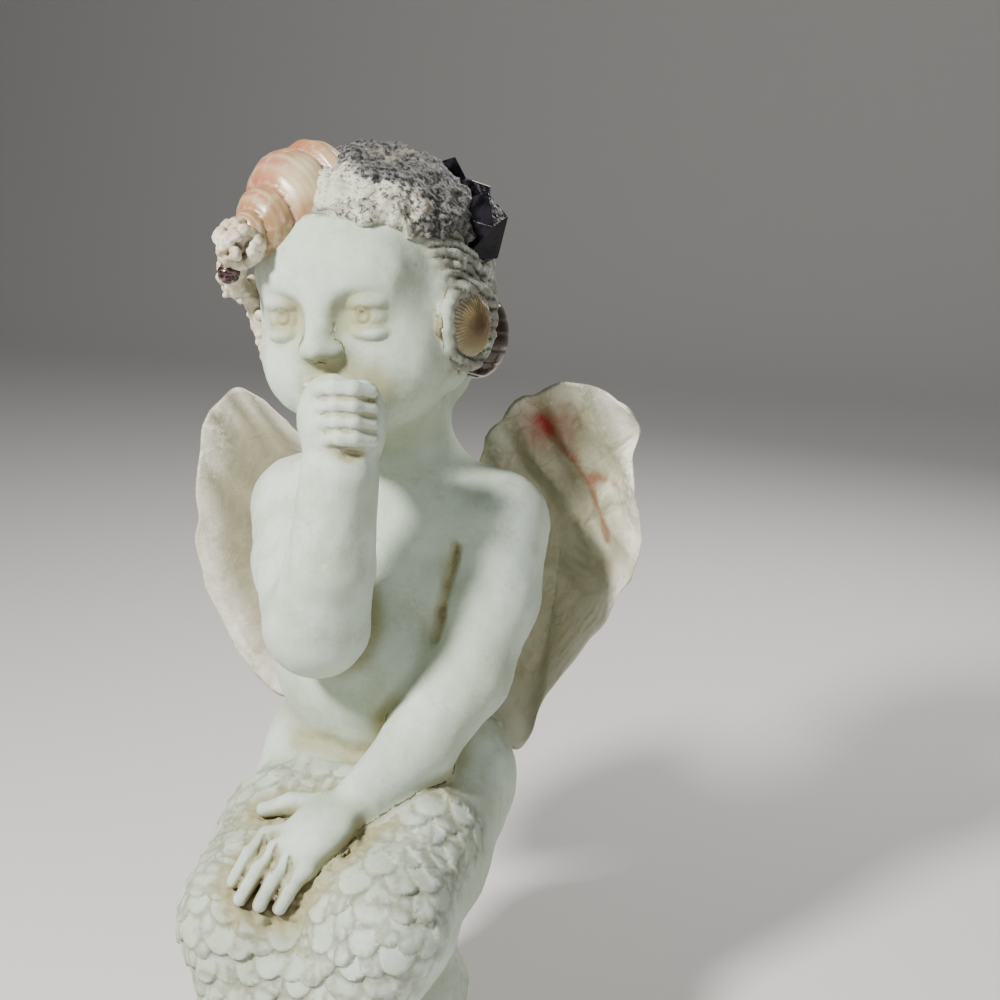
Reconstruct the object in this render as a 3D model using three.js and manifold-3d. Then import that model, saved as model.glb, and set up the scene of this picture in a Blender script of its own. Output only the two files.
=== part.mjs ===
// A seated mermaid angel figurine: one casting of a winged child with a scaled tail on a low rock seat,
// two oyster shells fixed to its back as wings, and sea shells, barnacles and black crystal on its head.
// Millimetres, +Z up. The figure faces -Y and its left side is +X. The origin is under the low base.
import * as THREE from "three";
import { mergeVertices } from "three/addons/utils/BufferGeometryUtils.js";
import Module from "manifold-3d";

const wasm = await Module();
wasm.setup();

// Driving sizes. Places typed further down are for a statue 340 high, and scale with statueHeight.
const statueHeight = 340;
const kneeHeight = statueHeight * 0.2853;
const ankleHeight = statueHeight * 0.1118;
const rockTop = statueHeight * 0.2882;
const rockWide = statueHeight * 0.0882;
const rockDeep = statueHeight * 0.1147;
const plinthHeight = statueHeight * 0.0382;
const plinthWide = statueHeight * 0.1353;
const plinthDeep = statueHeight * 0.1824;
const wingPlane = statueHeight * 0.0882; // how far behind the middle the wings lie
const plinthMiddle = statueHeight * -0.0882;
const glueGap = 0.35; // between a shell and what it is fixed to
const headTurn = [-3, -3, -4]; // yaw, pitch and roll in degrees
const headSides = 28;
const headRings = 19;
const fingerRadius = 2.9;
const lockDepth = 1.8;
const lockCount = 6;
const scaleRows = 10;
const scaleDepth = 0.8;
const wingWall = 3.6;
const wingCup = 13;
const crustWall = 5.5;
const whelkRadius = 22;
const whelkFront = 34; // from the middle of the large whorl to the tip
const whelkBack = 19;
const beadRadius = 3.6;

const scale = statueHeight / 340;
const own = (length) => length / scale; // a named size at the scale of the typed places

const vec = (p) => new THREE.Vector3(...p);
const { clamp, lerp, degToRad, smoothstep } = THREE.MathUtils;

// Turns a closed three.js geometry into a solid.
function solid(geometry) {
  const bare = geometry.index ? geometry.toNonIndexed() : geometry.clone();
  const position = new THREE.BufferGeometry().setAttribute("position", bare.getAttribute("position"));
  const merged = mergeVertices(position, 1e-4);
  const mesh = new wasm.Mesh({
    numProp: 3,
    vertProperties: merged.attributes.position.array,
    triVerts: new Uint32Array(merged.index.array),
  });
  return new wasm.Manifold(mesh);
}

const join = (pieces) => pieces.reduce((whole, piece) => whole.add(piece));

// Moves every vertex of a geometry by a rule, and gives the solid.
function shaped(geometry, rule) {
  const position = geometry.attributes.position;
  const point = new THREE.Vector3();
  for (let i = 0; i < position.count; i++) {
    point.fromBufferAttribute(position, i);
    const moved = rule(point);
    position.setXYZ(i, moved.x, moved.y, moved.z);
  }
  return solid(geometry);
}

// A place and a turn, for the head and for each shell.
function frameOf(centre, [yaw, pitch, roll]) {
  return new THREE.Matrix4()
    .makeRotationZ(degToRad(yaw))
    .multiply(new THREE.Matrix4().makeRotationX(degToRad(pitch)))
    .multiply(new THREE.Matrix4().makeRotationY(degToRad(roll)))
    .setPosition(vec(centre));
}
const headFrame = frameOf([-2.5, 2, 286], headTurn);
const onHead = (p) => vec(p).applyMatrix4(headFrame).toArray();

// Round forms that melt into each other, as modelled clay does.
const ball = (centre, radii, melt = 6, dig = false) => ({ centre, radii, melt, dig });
const rod = (from, to, fromRadius, toRadius, melt = 6) => ({ from, to, fromRadius, toRadius, melt });

function distanceTo(form, p) {
  if (form.radii) {
    const radii = vec(form.radii);
    const offset = p.clone().sub(vec(form.centre)).divide(radii);
    const near = offset.length() + 1e-9;
    return (near * (near - 1)) / (offset.divide(radii).length() + 1e-9);
  }
  const from = vec(form.from);
  const along = vec(form.to).sub(from);
  const share = clamp(p.clone().sub(from).dot(along) / along.lengthSq(), 0, 1);
  return p.distanceTo(from.addScaledVector(along, share)) - lerp(form.fromRadius, form.toRadius, share);
}

function distance(forms, p) {
  let whole = 1e3;
  for (const form of forms) {
    const sign = form.dig ? -1 : 1;
    const one = sign * distanceTo(form, p);
    const share = clamp(0.5 + (sign * 0.5 * (whole - one)) / form.melt, 0, 1);
    whole = lerp(whole, one, share) - sign * form.melt * share * (1 - share);
  }
  return whole;
}

// How far the melted forms reach from a middle point in one direction.
function reachOf(forms, middle, aim) {
  let inside = 0;
  let outside = 140;
  for (let far = 4; far < 140; far += 4) {
    if (distance(forms, middle.clone().addScaledVector(aim, far)) > 0) {
      outside = far;
      inside = far - 4;
      break;
    }
  }
  for (let i = 0; i < 14; i++) {
    const half = (inside + outside) / 2;
    if (distance(forms, middle.clone().addScaledVector(aim, half)) > 0) outside = half;
    else inside = half;
  }
  return outside;
}

// A sphere pushed out until it meets the melted forms. front packs more facets towards -Y.
function melted(forms, middle, sides, rings, grow = 0, front = 0, relief = () => 0) {
  const centre = vec(middle);
  return shaped(new THREE.SphereGeometry(1, sides, rings).rotateX(Math.PI / 2), (p) => {
    const flat = Math.hypot(p.x, p.y);
    const turn = Math.atan2(p.x, -p.y);
    const packed = turn * (1 - front + (front * Math.abs(turn)) / Math.PI);
    const aim = new THREE.Vector3(flat * Math.sin(packed), -flat * Math.cos(packed), p.z).normalize();
    const reach = reachOf(forms, centre, aim) + relief(aim) + grow;
    return aim.multiplyScalar(reach).add(centre);
  });
}

// A rounded bar bent along a curve. deep gives the other half width of a flat section.
function limb(points, radii, options = {}) {
  const { sides = 14, steps = 6, caps = 3, deep = radii } = options;
  const { across = [1, 0, 0], grow = 0, relief = () => 0 } = options;
  const curve = new THREE.CatmullRomCurve3(points.map(vec));
  const at = (list, share) => {
    const place = share * (list.length - 1);
    const low = Math.min(Math.floor(place), list.length - 2);
    return lerp(list[low], list[low + 1], place - low) + grow;
  };
  const capShare = caps / (steps + 2 * caps);
  return shaped(new THREE.SphereGeometry(1, sides, steps + 2 * caps), (p) => {
    const row = Math.acos(clamp(p.y, -1, 1)) / Math.PI;
    const share = clamp((row - capShare) / (1 - 2 * capShare), 0, 1);
    const bow = (clamp(row / capShare, 0, 1) + clamp((row - 1 + capShare) / capShare, 0, 1) - 1) * 90;
    const tangent = curve.getTangent(share).normalize();
    const side = vec(across).addScaledVector(tangent, -tangent.dot(vec(across))).normalize();
    const normal = tangent.clone().cross(side);
    const rise = relief(share, Math.atan2(p.z, p.x));
    const wide = at(radii, share) + rise;
    const thick = at(deep, share) + rise;
    const flat = Math.hypot(p.x, p.z) || 1;
    const ring = Math.cos(degToRad(bow));
    return curve
      .getPoint(share)
      .addScaledVector(side, (p.x / flat) * wide * ring)
      .addScaledVector(normal, (p.z / flat) * thick * ring)
      .addScaledVector(tangent, Math.sin(degToRad(bow)) * Math.min(wide, thick));
  });
}

// An egg-shaped lump with its own place and turn.
function lump(centre, radii, turn = [0, 0, 0], sides = 14, rings = 10, grow = 0) {
  const frame = frameOf(centre, turn);
  const half = vec(radii).addScalar(grow);
  const egg = new THREE.SphereGeometry(1, sides, rings);
  return shaped(egg, (p) => p.clone().multiply(half).applyMatrix4(frame));
}

// Head: skull, jaw, cheeks, chin, brow, eyes in their hollows, nose, nostrils and lips, and a cap of hair.
const headForms = [
  ball(onHead([0, 4, 7]), [36, 40, 39]),
  ball(onHead([1, -9, -14]), [31.5, 25, 29], 12),
  ball(onHead([16, -16, -21]), [15.5, 15, 15], 8),
  ball(onHead([-14, -17, -21]), [14.5, 14.5, 15], 8),
  ball(onHead([0, -25, -37]), [10, 9, 8], 8),
  ball(onHead([0, -28, 10]), [24, 9, 12], 10),
  ball(onHead([14, -37.5, -3.5]), [8.5, 5.5, 5.5], 5, true),
  ball(onHead([-14, -37.5, -3.5]), [8.5, 5.5, 5.5], 5, true),
  rod(onHead([0, -33.5, 2]), onHead([0, -39.5, -13]), 2.6, 4, 5),
  ball(onHead([4, -36.5, -14.5]), [3, 3.4, 2.6], 2.5),
  ball(onHead([-4, -36.5, -14.5]), [3, 3.4, 2.6], 2.5),
  ball(onHead([14, -27.5, -3.8]), [7.4, 7.4, 7], 1.2),
  ball(onHead([-14, -27.5, -3.8]), [7.4, 7.4, 7], 1.2),
  ball(onHead([0, -34, -25]), [8, 3.5, 2], 2),
  ball(onHead([0, -33, -28.5]), [7, 3.5, 2.4], 2),
  ball(onHead([0, 12, 4]), [37.5, 36, 38], 4),
  ball(onHead([29, -2, -4]), [9, 14, 26], 5),
  ball(onHead([-29, 0, -4]), [9, 13, 26], 5),
  ball(onHead([0, 26, -24]), [25, 16, 20], 10),
];
const headMiddle = onHead([0, 0, 0]);

// Locks of hair swept up and back, from the temples round to the nape.
function lockRelief(aim) {
  const turn = Math.abs(Math.atan2(aim.x, -aim.y));
  const height = smoothstep(aim.z, -0.75, -0.55) * (1 - smoothstep(aim.z, 0.8, 0.95));
  const wave = Math.cos(turn * lockCount * 1.6 - aim.z * 5);
  return height * smoothstep(turn, 1.05, 1.3) * own(lockDepth) * wave;
}
const headSolid = (grow) => melted(headForms, headMiddle, headSides, headRings, grow, 0.4, lockRelief);

// Chest, belly, hips and shoulders.
const torsoForms = [
  ball([1, 6, 196], [37, 24, 37]),
  ball([-1, -3, 160], [37, 28, 30], 14),
  ball([-1, 6, 121], [44, 31, 29], 14),
  rod([5, 9, 229], [36, 9, 213], 12.5, 14.5, 12),
  rod([3, 9, 229], [-31, 8, 212], 12.5, 14.5, 12),
];

const leftArm = [[41, 8, 210], [40, 0, 186], [35.5, -12, 162], [26, -30, 143.5], [14, -50, 131.5]];
const leftArmRadii = [17.5, 16.8, 15, 12.3, 8.6];
const rightUpperArm = [[-32, 6, 210], [-22, -16, 197], [-6, -40, 186]];
const rightForearm = [[-4.5, -42, 185.5], [3.5, -48, 208], [8.5, -50, 238]];
const knee = own(kneeHeight);
const ankle = own(ankleHeight);
const leftThigh = [[22, 2, 113], [25, -36, 105], [26, -66, knee], [18, -79, 70], [6, -83, ankle]];
const rightThigh = [[-19, 2, 113], [-18, -37, 102], [-16, -68, knee - 4], [-9, -80, 67], [1, -84, ankle]];
const thighRadii = [25.5, 24.2, 22.8, 17.5, 12];
const betweenThighs = [[2, 2, 108], [4, -30, 106], [4, -58, knee + 4], [4, -75, 80], [3, -84, ankle]];
const betweenRadii = [22, 21, 19, 16, 10];

const trunk = (grow) => [
  melted(torsoForms, [0, 4, 165], 20, 15, grow),
  lump([23, 28, 176], [12, 7, 34], [-6, 0, 6], 8, 6, grow),
  lump([-21, 28, 178], [12, 7, 32], [6, 0, -4], 8, 6, grow),
  limb(leftArm, leftArmRadii, { sides: 11, steps: 7, caps: 2, grow }),
  limb(rightUpperArm, [17.5, 16, 17], { sides: 12, steps: 2, grow }),
];

// The fist at the mouth, with four fingers curled round.
function fist() {
  const top = 269.5;
  const tall = 28;
  const hand = shaped(new THREE.SphereGeometry(1, 14, 17).rotateX(-Math.PI / 2), (p) => {
    const row = Math.acos(clamp(p.z, -1, 1)) / Math.PI;
    const ring = Math.sqrt(1 - Math.pow(Math.abs(2 * row - 1), 3));
    const flat = Math.hypot(p.x, p.y) || 1;
    const finger = Math.abs(Math.sin((Math.PI * tall * row) / 4.9));
    const front = row < 0.71 ? Math.max(0, -p.y / flat) * ring : 0;
    const y = (p.y / flat) * ring * 9.5 - front * 2.6 * finger;
    return new THREE.Vector3(8.5 + (p.x / flat) * ring * 14, y - 49.5, top - tall * row);
  });
  const thumb = [[7, -44, 240], [3, -39, 249], [2, -36, 256]];
  return [hand, limb(thumb, [5, 4.4, 3.8], { sides: 6, steps: 2, caps: 1 })];
}

// The open hand on the knee, with four fingers and a thumb.
function hand() {
  const found = [lump([4.5, -65, 125.5], [11, 15, 6.5], [-21, 22, 0], 10, 6)];
  const knuckles = [[-11.5, -69, 122.5], [-6, -74, 121], [0, -76.5, 119.5], [5.5, -77, 118]];
  const tips = [[-15.5, -85.5, 114.5], [-11.5, -89, 111], [-5.5, -88, 109.5], [0, -85.5, 108]];
  knuckles.forEach((knuckle, i) => {
    const middle = vec(knuckle).lerp(vec(tips[i]), 0.5).add(new THREE.Vector3(0, 0, 1.5));
    const inPalm = vec([10, -58, 128]).lerp(vec(knuckle), 0.55);
    const thick = [1, 1, 0.92, 0.76].map((share) => share * own(fingerRadius));
    const path = [inPalm.toArray(), knuckle, middle.toArray(), tips[i]];
    found.push(limb(path, thick, { sides: 6, steps: 3, caps: 1 }));
  });
  const thumb = [[1, -54, 128], [-10, -54, 127], [-18.5, -57, 125]];
  found.push(limb(thumb, [4, 3.6, 3], { sides: 6, steps: 2, caps: 1, across: [0, 0, 1] }));
  return found;
}

// The tail below the ankles, and its two lobes lying on the base.
function fluke() {
  const path = [[4, -83, 44], [4, -87, 24], [4, -90, 12]];
  const stem = limb(path, [12, 9.5, 11], { sides: 10, steps: 3, caps: 1, deep: [11, 7, 5] });
  const lobes = [-1, 1].map((side) => {
    const spread = [[0, -86, 20], [15, -91, 14], [32, -89, 13], [43, -78, 15]];
    const lobe = spread.map(([x, y, z]) => [4 + x * side, y, z]);
    const options = { sides: 8, steps: 6, caps: 1, deep: [6, 4.5, 3.2, 1.8], across: [0, 1, 0] };
    return limb(lobe, [8, 15, 14, 5], options);
  });
  return [stem, ...lobes];
}

// The rock seat and the low base, flat below.
function seat() {
  const rocky = (p) => 1 + 0.05 * Math.sin(p.x * 5 + p.z * 4) * Math.cos(p.y * 6 - p.z * 3);
  const rock = shaped(new THREE.SphereGeometry(1, 12, 8).rotateX(Math.PI / 2), (p) => {
    const flat = Math.hypot(p.x, p.y) || 1;
    const boulder = (Math.pow(flat, 0.55) / flat) * rocky(p) * (1 - 0.12 * p.z);
    const x = p.x * own(rockWide) * boulder - 4;
    const z = (own(rockTop) / 2) * (1 + p.z);
    return new THREE.Vector3(x, p.y * own(rockDeep) * boulder - 5, z);
  });
  const profile = [[0, 0], [1, 0], [1.03, 0.4], [0.98, 0.85], [0.88, 1], [0, 1.05]];
  const outline = profile.map(([out, up]) => new THREE.Vector2(out, up * own(plinthHeight)));
  const slab = shaped(new THREE.LatheGeometry(outline, 22).rotateX(Math.PI / 2), (p) => {
    const rough = 1 + 0.02 * Math.sin(Math.atan2(p.y, p.x) * 7) + 0.02 * Math.cos(Math.atan2(p.y, p.x) * 3);
    const y = p.y * own(plinthDeep) * rough + own(plinthMiddle);
    return new THREE.Vector3(p.x * own(plinthWide) * rough, y, p.z);
  });
  const ground = solid(new THREE.BoxGeometry(300, 300, 60).translate(0, 0, -30));
  return [rock.subtract(ground), slab];
}

function casting() {
  const scales = (share, round) => {
    const zone = smoothstep(share, 0.05, 0.12) * (1 - smoothstep(share, 0.95, 1));
    return zone * own(scaleDepth) * Math.cos(2 * Math.PI * scaleRows * share) * Math.cos(6 * round);
  };
  const options = { sides: 12, steps: 2 * scaleRows, caps: 1, relief: scales };
  const tail = [leftThigh, rightThigh].map((path) => limb(path, thighRadii, options));
  tail.push(limb(betweenThighs, betweenRadii, { sides: 10, steps: 7, caps: 1 }));
  const neck = limb([[7, 9, 216], [5, 8, 258]], [17, 17.5], { steps: 1, sides: 12, caps: 2 });
  const forearm = limb(rightForearm, [17.3, 14, 12.2], { sides: 12, steps: 3, caps: 2 });
  const body = join([...trunk(0), ...tail, neck, forearm, ...fist(), ...hand(), ...fluke(), ...seat()]);
  return body.add(headSolid(0));
}

// An oyster shell wing, hollow side forward. The rim runs clockwise as seen from the front.
function wing(rim, middle, waves) {
  const points = rim.map(([x, z]) => new THREE.Vector3(x, own(wingPlane), z));
  const edge = new THREE.CatmullRomCurve3(points, true);
  const centre = new THREE.Vector3(middle[0], own(wingPlane), middle[1]);
  const shell = shaped(new THREE.SphereGeometry(1, 24, 8), (p) => {
    const row = Math.acos(clamp(p.y, -1, 1)) / Math.PI;
    const out = 1 - Math.abs(2 * row - 1);
    const turn = (1 - Math.atan2(p.z, p.x) / (2 * Math.PI)) % 1;
    const point = centre.clone().lerp(edge.getPoint(turn), out);
    const wave = 2.4 * Math.pow(out, 3) * Math.sin(turn * 2 * Math.PI * waves + 1);
    const half = 0.5 * own(wingWall) * Math.sqrt(1 - Math.pow(out, 5) * 0.85);
    point.y += own(wingCup) * (1 - out * out) + wave + (row < 0.5 ? half : -half);
    return point;
  });
  return shell.subtract(join([...trunk(own(glueGap)), headSolid(own(glueGap))]));
}

const leftTop = [[24, 132], [30, 235], [61, 257], [83, 245]];
const leftSide = [[82, 226], [86, 202], [79, 180], [54, 143], [42, 119]];
const rightTop = [[-88, 180], [-82, 233], [-66, 247], [-43, 232]];
const rightSide = [[-15, 205], [-24, 140], [-53, 127], [-76, 150]];

// The whelk: three turns round one axis, from the tip back into the crust.
const whelkFrame = (() => {
  const axis = new THREE.Vector3(-0.28, -0.92, -0.27).normalize();
  const turn = new THREE.Quaternion().setFromUnitVectors(new THREE.Vector3(0, 1, 0), axis);
  return new THREE.Matrix4().makeRotationFromQuaternion(turn).setPosition(-20, -8, 316);
})();

function whelk(grow) {
  return shaped(new THREE.SphereGeometry(1, 18, 14), (p) => {
    const flat = Math.hypot(p.x, p.z) || 1;
    const along = p.y > 0 ? p.y * own(whelkFront) : p.y * own(whelkBack);
    const fromTip = own(whelkFront) - along;
    const turns = Math.log(1 + fromTip / 3.2) / Math.log(1.75) + Math.atan2(p.z, p.x) / (2 * Math.PI);
    const whorl = Math.pow(Math.abs(Math.sin(Math.PI * Math.pow(((turns % 1) + 1) % 1, 0.7))), 0.6);
    const spire = own(whelkRadius) * Math.pow(clamp(fromTip / own(whelkFront), 0, 1), 0.72);
    const closing = along < 0 ? Math.sqrt(Math.max(0, 1 - (along / own(whelkBack)) ** 2)) : 1;
    const radius = (spire * closing * (0.76 + 0.24 * whorl) + grow) * Math.min(1, flat * 4);
    const y = along + Math.sign(p.y) * grow;
    return new THREE.Vector3((p.x / flat) * radius, y, (p.z / flat) * radius).applyMatrix4(whelkFrame);
  });
}

// The rough crust on the crown: a cap that follows the scalp.
function crust(grow) {
  const axis = new THREE.Vector3(0.446, -0.045, 0.893).normalize();
  const turn = new THREE.Quaternion().setFromUnitVectors(new THREE.Vector3(0, 1, 0), axis);
  return shaped(new THREE.SphereGeometry(1, 18, 8), (p) => {
    const row = Math.acos(clamp(p.y, -1, 1)) / Math.PI;
    const out = 1 - Math.abs(2 * row - 1);
    const round = Math.atan2(p.z, p.x);
    const spread = 41 - 6 * Math.cos(2 * round) - 4 * Math.cos(round) + 2 * Math.sin(5 * round) + grow;
    const tilt = degToRad(spread * out);
    const flat = Math.sin(tilt);
    const aim = new THREE.Vector3(Math.cos(round) * flat, Math.cos(tilt), Math.sin(round) * flat);
    aim.applyQuaternion(turn).normalize();
    const bumps = 0.9 * Math.sin(aim.x * 17 + 1) * Math.sin(aim.y * 15) + 0.6 * Math.sin(aim.z * 23);
    const wall = row < 0.5 ? own(crustWall) * Math.sqrt(1 - 0.7 * Math.pow(out, 4)) + bumps + grow : -2;
    return aim.clone().multiplyScalar(reachOf(headForms, vec(headMiddle), aim) + wall).add(vec(headMiddle));
  });
}

// Black crystal behind the crust, in three faceted lumps.
function crystal() {
  const facet = (centre, radii, turn) => {
    const frame = frameOf(centre, turn);
    const stone = new THREE.DodecahedronGeometry(1, 0);
    return shaped(stone, (p) => p.clone().multiply(vec(radii)).applyMatrix4(frame));
  };
  return join([
    facet([33, 12, 308], [10.5, 13, 13], [20, 15, 10]),
    facet([26, 20, 317], [9, 10, 9], [50, 30, 0]),
    facet([17, 22, 323], [9, 9, 6.5], [10, 60, 20]),
  ]);
}

// The limpet over the left ear: a low ribbed cone. The brown shell sits behind it.
function limpet(grow) {
  const frame = frameOf([33.5, -4, 279.5], [-108, 0, 0]);
  return shaped(new THREE.SphereGeometry(1, 20, 7), (p) => {
    const round = Math.atan2(p.z, p.x);
    const flat = Math.hypot(p.x, p.z);
    const out = flat * (1 + 0.04 * Math.cos(round * 10));
    const depth = p.y > 0 ? 6.5 * Math.pow(p.y, 1.3) + grow : 2.5 * p.y - grow;
    const wide = (12 + grow) * out;
    return new THREE.Vector3(Math.cos(round) * wide, depth, Math.sin(round) * wide).applyMatrix4(frame);
  });
}

// Barnacles heaped on the tip of the whelk, with a strand down the edge of the face.
function barnacles(grow) {
  const upper = [[-29, -36, 308], [-35, -29, 299.5], [-41, -19, 291]];
  const path = [...upper, [-38, -12, 286], [-36, -11, 277], [-32, -14, 265]];
  const strand = new THREE.CatmullRomCurve3(path.map(vec));
  const found = [limb(path, [6.5, 4.6, 4.4, 4, 3.4, 2.6], { sides: 5, steps: 6, caps: 1, grow })];
  for (let i = 0; i < 4; i++) {
    const point = strand.getPoint((i + 1) / 4.2);
    const size = 4.7 - i * 0.35;
    const centre = [point.x - 1.5 + 1.6 * Math.cos(i * 2.4), point.y - 1 + 1.2 * Math.sin(i * 2.4), point.z];
    found.push(lump(centre, [size, size, size], [i * 40, 0, 0], 5, 4, grow));
  }
  for (let i = 0; i < 3; i++) {
    const swing = i * 2.1 + 0.5;
    const centre = new THREE.Vector3(4 * Math.cos(swing), 30, 4 * Math.sin(swing));
    found.push(lump(centre.applyMatrix4(whelkFrame).toArray(), [4.8, 4.8, 4.8], [i * 40, 0, 0], 5, 4, grow));
  }
  return join(found);
}

// One named mesh for each piece, with its own material.
const group = new THREE.Group();
group.name = "mermaid_angel";

function place(name, piece, color, roughness, metalness = 0) {
  const mesh = piece.getMesh();
  const geometry = new THREE.BufferGeometry();
  geometry.setAttribute("position", new THREE.BufferAttribute(new Float32Array(mesh.vertProperties), 3));
  geometry.setIndex(new THREE.BufferAttribute(new Uint32Array(mesh.triVerts), 1));
  const flat = geometry.toNonIndexed().scale(scale, scale, scale);
  flat.computeVertexNormals();
  const node = new THREE.Mesh(flat, new THREE.MeshStandardMaterial({ color, roughness, metalness }));
  node.name = name;
  group.add(node);
}

const figure = casting();
const headCut = headSolid(own(glueGap));
const whelkCut = whelk(own(glueGap));
const crustWhole = crust(0).subtract(whelkCut);
const beadAt = [-34, -35.5, 297];
const limpetWhole = limpet(0).subtract(headCut);

place("figure", figure, "#dedbd0", 0.75);
place("left_wing_shell", wing([...leftTop, ...leftSide], [54, 195], 3), "#e2dac6", 0.5);
place("right_wing_shell", wing([...rightTop, ...rightSide], [-52, 190], 2), "#e2dac6", 0.5);
place("whelk_shell", whelk(0).subtract(headCut), "#d9b89a", 0.3);
place("barnacle_crust", crustWhole.subtract(headCut), "#b9b4aa", 0.9);
place("black_crystal", crystal().subtract(headCut).subtract(crust(own(glueGap))), "#15131a", 0.15, 0.2);
place("limpet_shell", limpetWhole, "#b9986e", 0.5);
const brownShell = lump([29.5, 19, 273], [11, 12, 15.5], [0, 0, 0], 12, 8);
place("brown_shell", brownShell.subtract(headCut).subtract(limpet(own(glueGap))), "#3a211c", 0.2);
const bead = (grow) => lump(beadAt, Array(3).fill(own(beadRadius)), [0, 0, 0], 8, 6, grow);
const barnacleWhole = barnacles(0).subtract(headCut).subtract(whelkCut).subtract(bead(own(glueGap)));
place("barnacle_cluster", barnacleWhole, "#d9cfb8", 0.85);
place("dark_bead", bead(0), "#2a1e22", 0.15, 0.3);

export default group;
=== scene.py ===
import math
import bmesh
import bpy
import numpy as np
from mathutils import Matrix, Vector


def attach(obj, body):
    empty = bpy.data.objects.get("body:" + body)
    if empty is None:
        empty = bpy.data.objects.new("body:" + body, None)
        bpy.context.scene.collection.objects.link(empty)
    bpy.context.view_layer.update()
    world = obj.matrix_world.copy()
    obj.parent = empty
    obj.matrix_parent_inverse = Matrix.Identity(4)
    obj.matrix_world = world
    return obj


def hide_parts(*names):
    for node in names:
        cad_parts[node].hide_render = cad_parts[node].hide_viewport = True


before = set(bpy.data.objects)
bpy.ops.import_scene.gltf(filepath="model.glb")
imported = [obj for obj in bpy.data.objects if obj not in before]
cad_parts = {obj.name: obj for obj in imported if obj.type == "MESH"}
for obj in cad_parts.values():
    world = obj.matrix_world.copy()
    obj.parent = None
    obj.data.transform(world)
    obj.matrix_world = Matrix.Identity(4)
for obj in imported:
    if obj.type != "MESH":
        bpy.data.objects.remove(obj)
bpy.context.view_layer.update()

mm = 0.001  # sizes and places below are in millimetres, and become metres when a mesh is finished
scene = bpy.context.scene


# Camera, lights and floor

camera = {"azimuth": 18, "elevation": 15, "place": (193.3, -459.5, 350.0), "lens": 54, "sensor": 36}
studio = {
    "key": ((-330, -640, 800), 19.5, 150, (1.0, 0.99, 0.96)),
    "fill": ((820, -420, 420), 1.7, 380, (0.97, 1.0, 0.96)),
    "back": ((160, 640, 640), 4.5, 400, (1.0, 0.98, 0.96)),
    "sky": (0.86, 0.87, 0.9),
    "skyStrength": 0.11,
    "floor": (0.72, 0.7, 0.68),
}


def makeCamera():
    data = bpy.data.cameras.new("camera")
    data.lens = camera["lens"]
    data.sensor_width = camera["sensor"]
    data.clip_end = 50
    holder = bpy.data.objects.new("camera", data)
    scene.collection.objects.link(holder)
    around, up = math.radians(camera["azimuth"]), math.radians(camera["elevation"])
    back = Vector((math.sin(around) * math.cos(up), -math.cos(around) * math.cos(up), math.sin(up)))
    right = Vector((math.cos(around), math.sin(around), 0))
    turned = Matrix((right, back.cross(right), back)).transposed().to_4x4()
    holder.matrix_world = Matrix.Translation(Vector(camera["place"]) * mm) @ turned
    scene.camera = holder


def makeLight(name, place, watts, size, colour):
    data = bpy.data.lights.new(name, "AREA")
    data.energy = watts
    data.shape = "DISK"
    data.size = size * mm
    data.color = colour
    holder = bpy.data.objects.new(name, data)
    scene.collection.objects.link(holder)
    holder.location = Vector(place) * mm
    aim = Vector((0, -10 * mm, 200 * mm)) - holder.location
    holder.rotation_euler = aim.to_track_quat("-Z", "Y").to_euler()


def makeFloor():
    sheet = bmesh.new()
    bmesh.ops.create_grid(sheet, x_segments=2, y_segments=60, size=1)
    for corner in sheet.verts:  # a flat floor that curves up to a plain wall behind
        along = (corner.co.y + 1) / 2 * 5.2
        flat = 2.6
        bend = 1.0
        corner.co.x *= 4
        if along < flat:
            corner.co.y, corner.co.z = along - 1.2, 0
        else:
            turn = min((along - flat) / bend, math.pi / 2)
            corner.co.y = flat - 1.2 + bend * math.sin(turn)
            corner.co.z = bend * (1 - math.cos(turn)) + max(0, along - flat - bend * math.pi / 2)
    mesh = bpy.data.meshes.new("floor")
    sheet.to_mesh(mesh)
    sheet.free()
    mesh.polygons.foreach_set("use_smooth", [True] * len(mesh.polygons))
    floor = bpy.data.objects.new("floor", mesh)
    scene.collection.objects.link(floor)
    paint = bpy.data.materials.new("floorPaint")
    paint.use_nodes = True
    shader = paint.node_tree.nodes["Principled BSDF"]
    shader.inputs["Base Color"].default_value = (*studio["floor"], 1)
    shader.inputs["Roughness"].default_value = 0.9
    mesh.materials.append(paint)


makeCamera()
for lamp in ("key", "fill", "back"):
    makeLight(lamp, *studio[lamp])
makeFloor()
world = bpy.data.worlds.new("studio")
scene.world = world
world.use_nodes = True
world.node_tree.nodes["Background"].inputs["Color"].default_value = (*studio["sky"], 1)
world.node_tree.nodes["Background"].inputs["Strength"].default_value = studio["skyStrength"]
print("camera, lights and floor done")


# Melting forms: round lumps and bars that run into each other as modelled clay does

def turnOf(yaw=0, pitch=0, roll=0):
    return np.array(
        Matrix.Rotation(math.radians(yaw), 3, "Z")
        @ Matrix.Rotation(math.radians(pitch), 3, "X")
        @ Matrix.Rotation(math.radians(roll), 3, "Y")
    )


def lump(centre, radii, melt=6, turn=(0, 0, 0), dig=False):
    return {"centre": np.array(centre, float), "radii": np.array(radii, float), "melt": melt,
            "turn": turnOf(*turn), "dig": dig}


def bar(start, end, startRadius, endRadius, melt=6, dig=False):
    return {"start": np.array(start, float), "end": np.array(end, float), "melt": melt, "dig": dig,
            "startRadius": startRadius, "endRadius": endRadius}


def chain(points, radii, melt=3, first=None):
    found = []
    for i in range(len(points) - 1):
        soft = first if i == 0 and first is not None else melt
        found.append(bar(points[i], points[i + 1], radii[i], radii[i + 1], soft))
    return found


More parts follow.
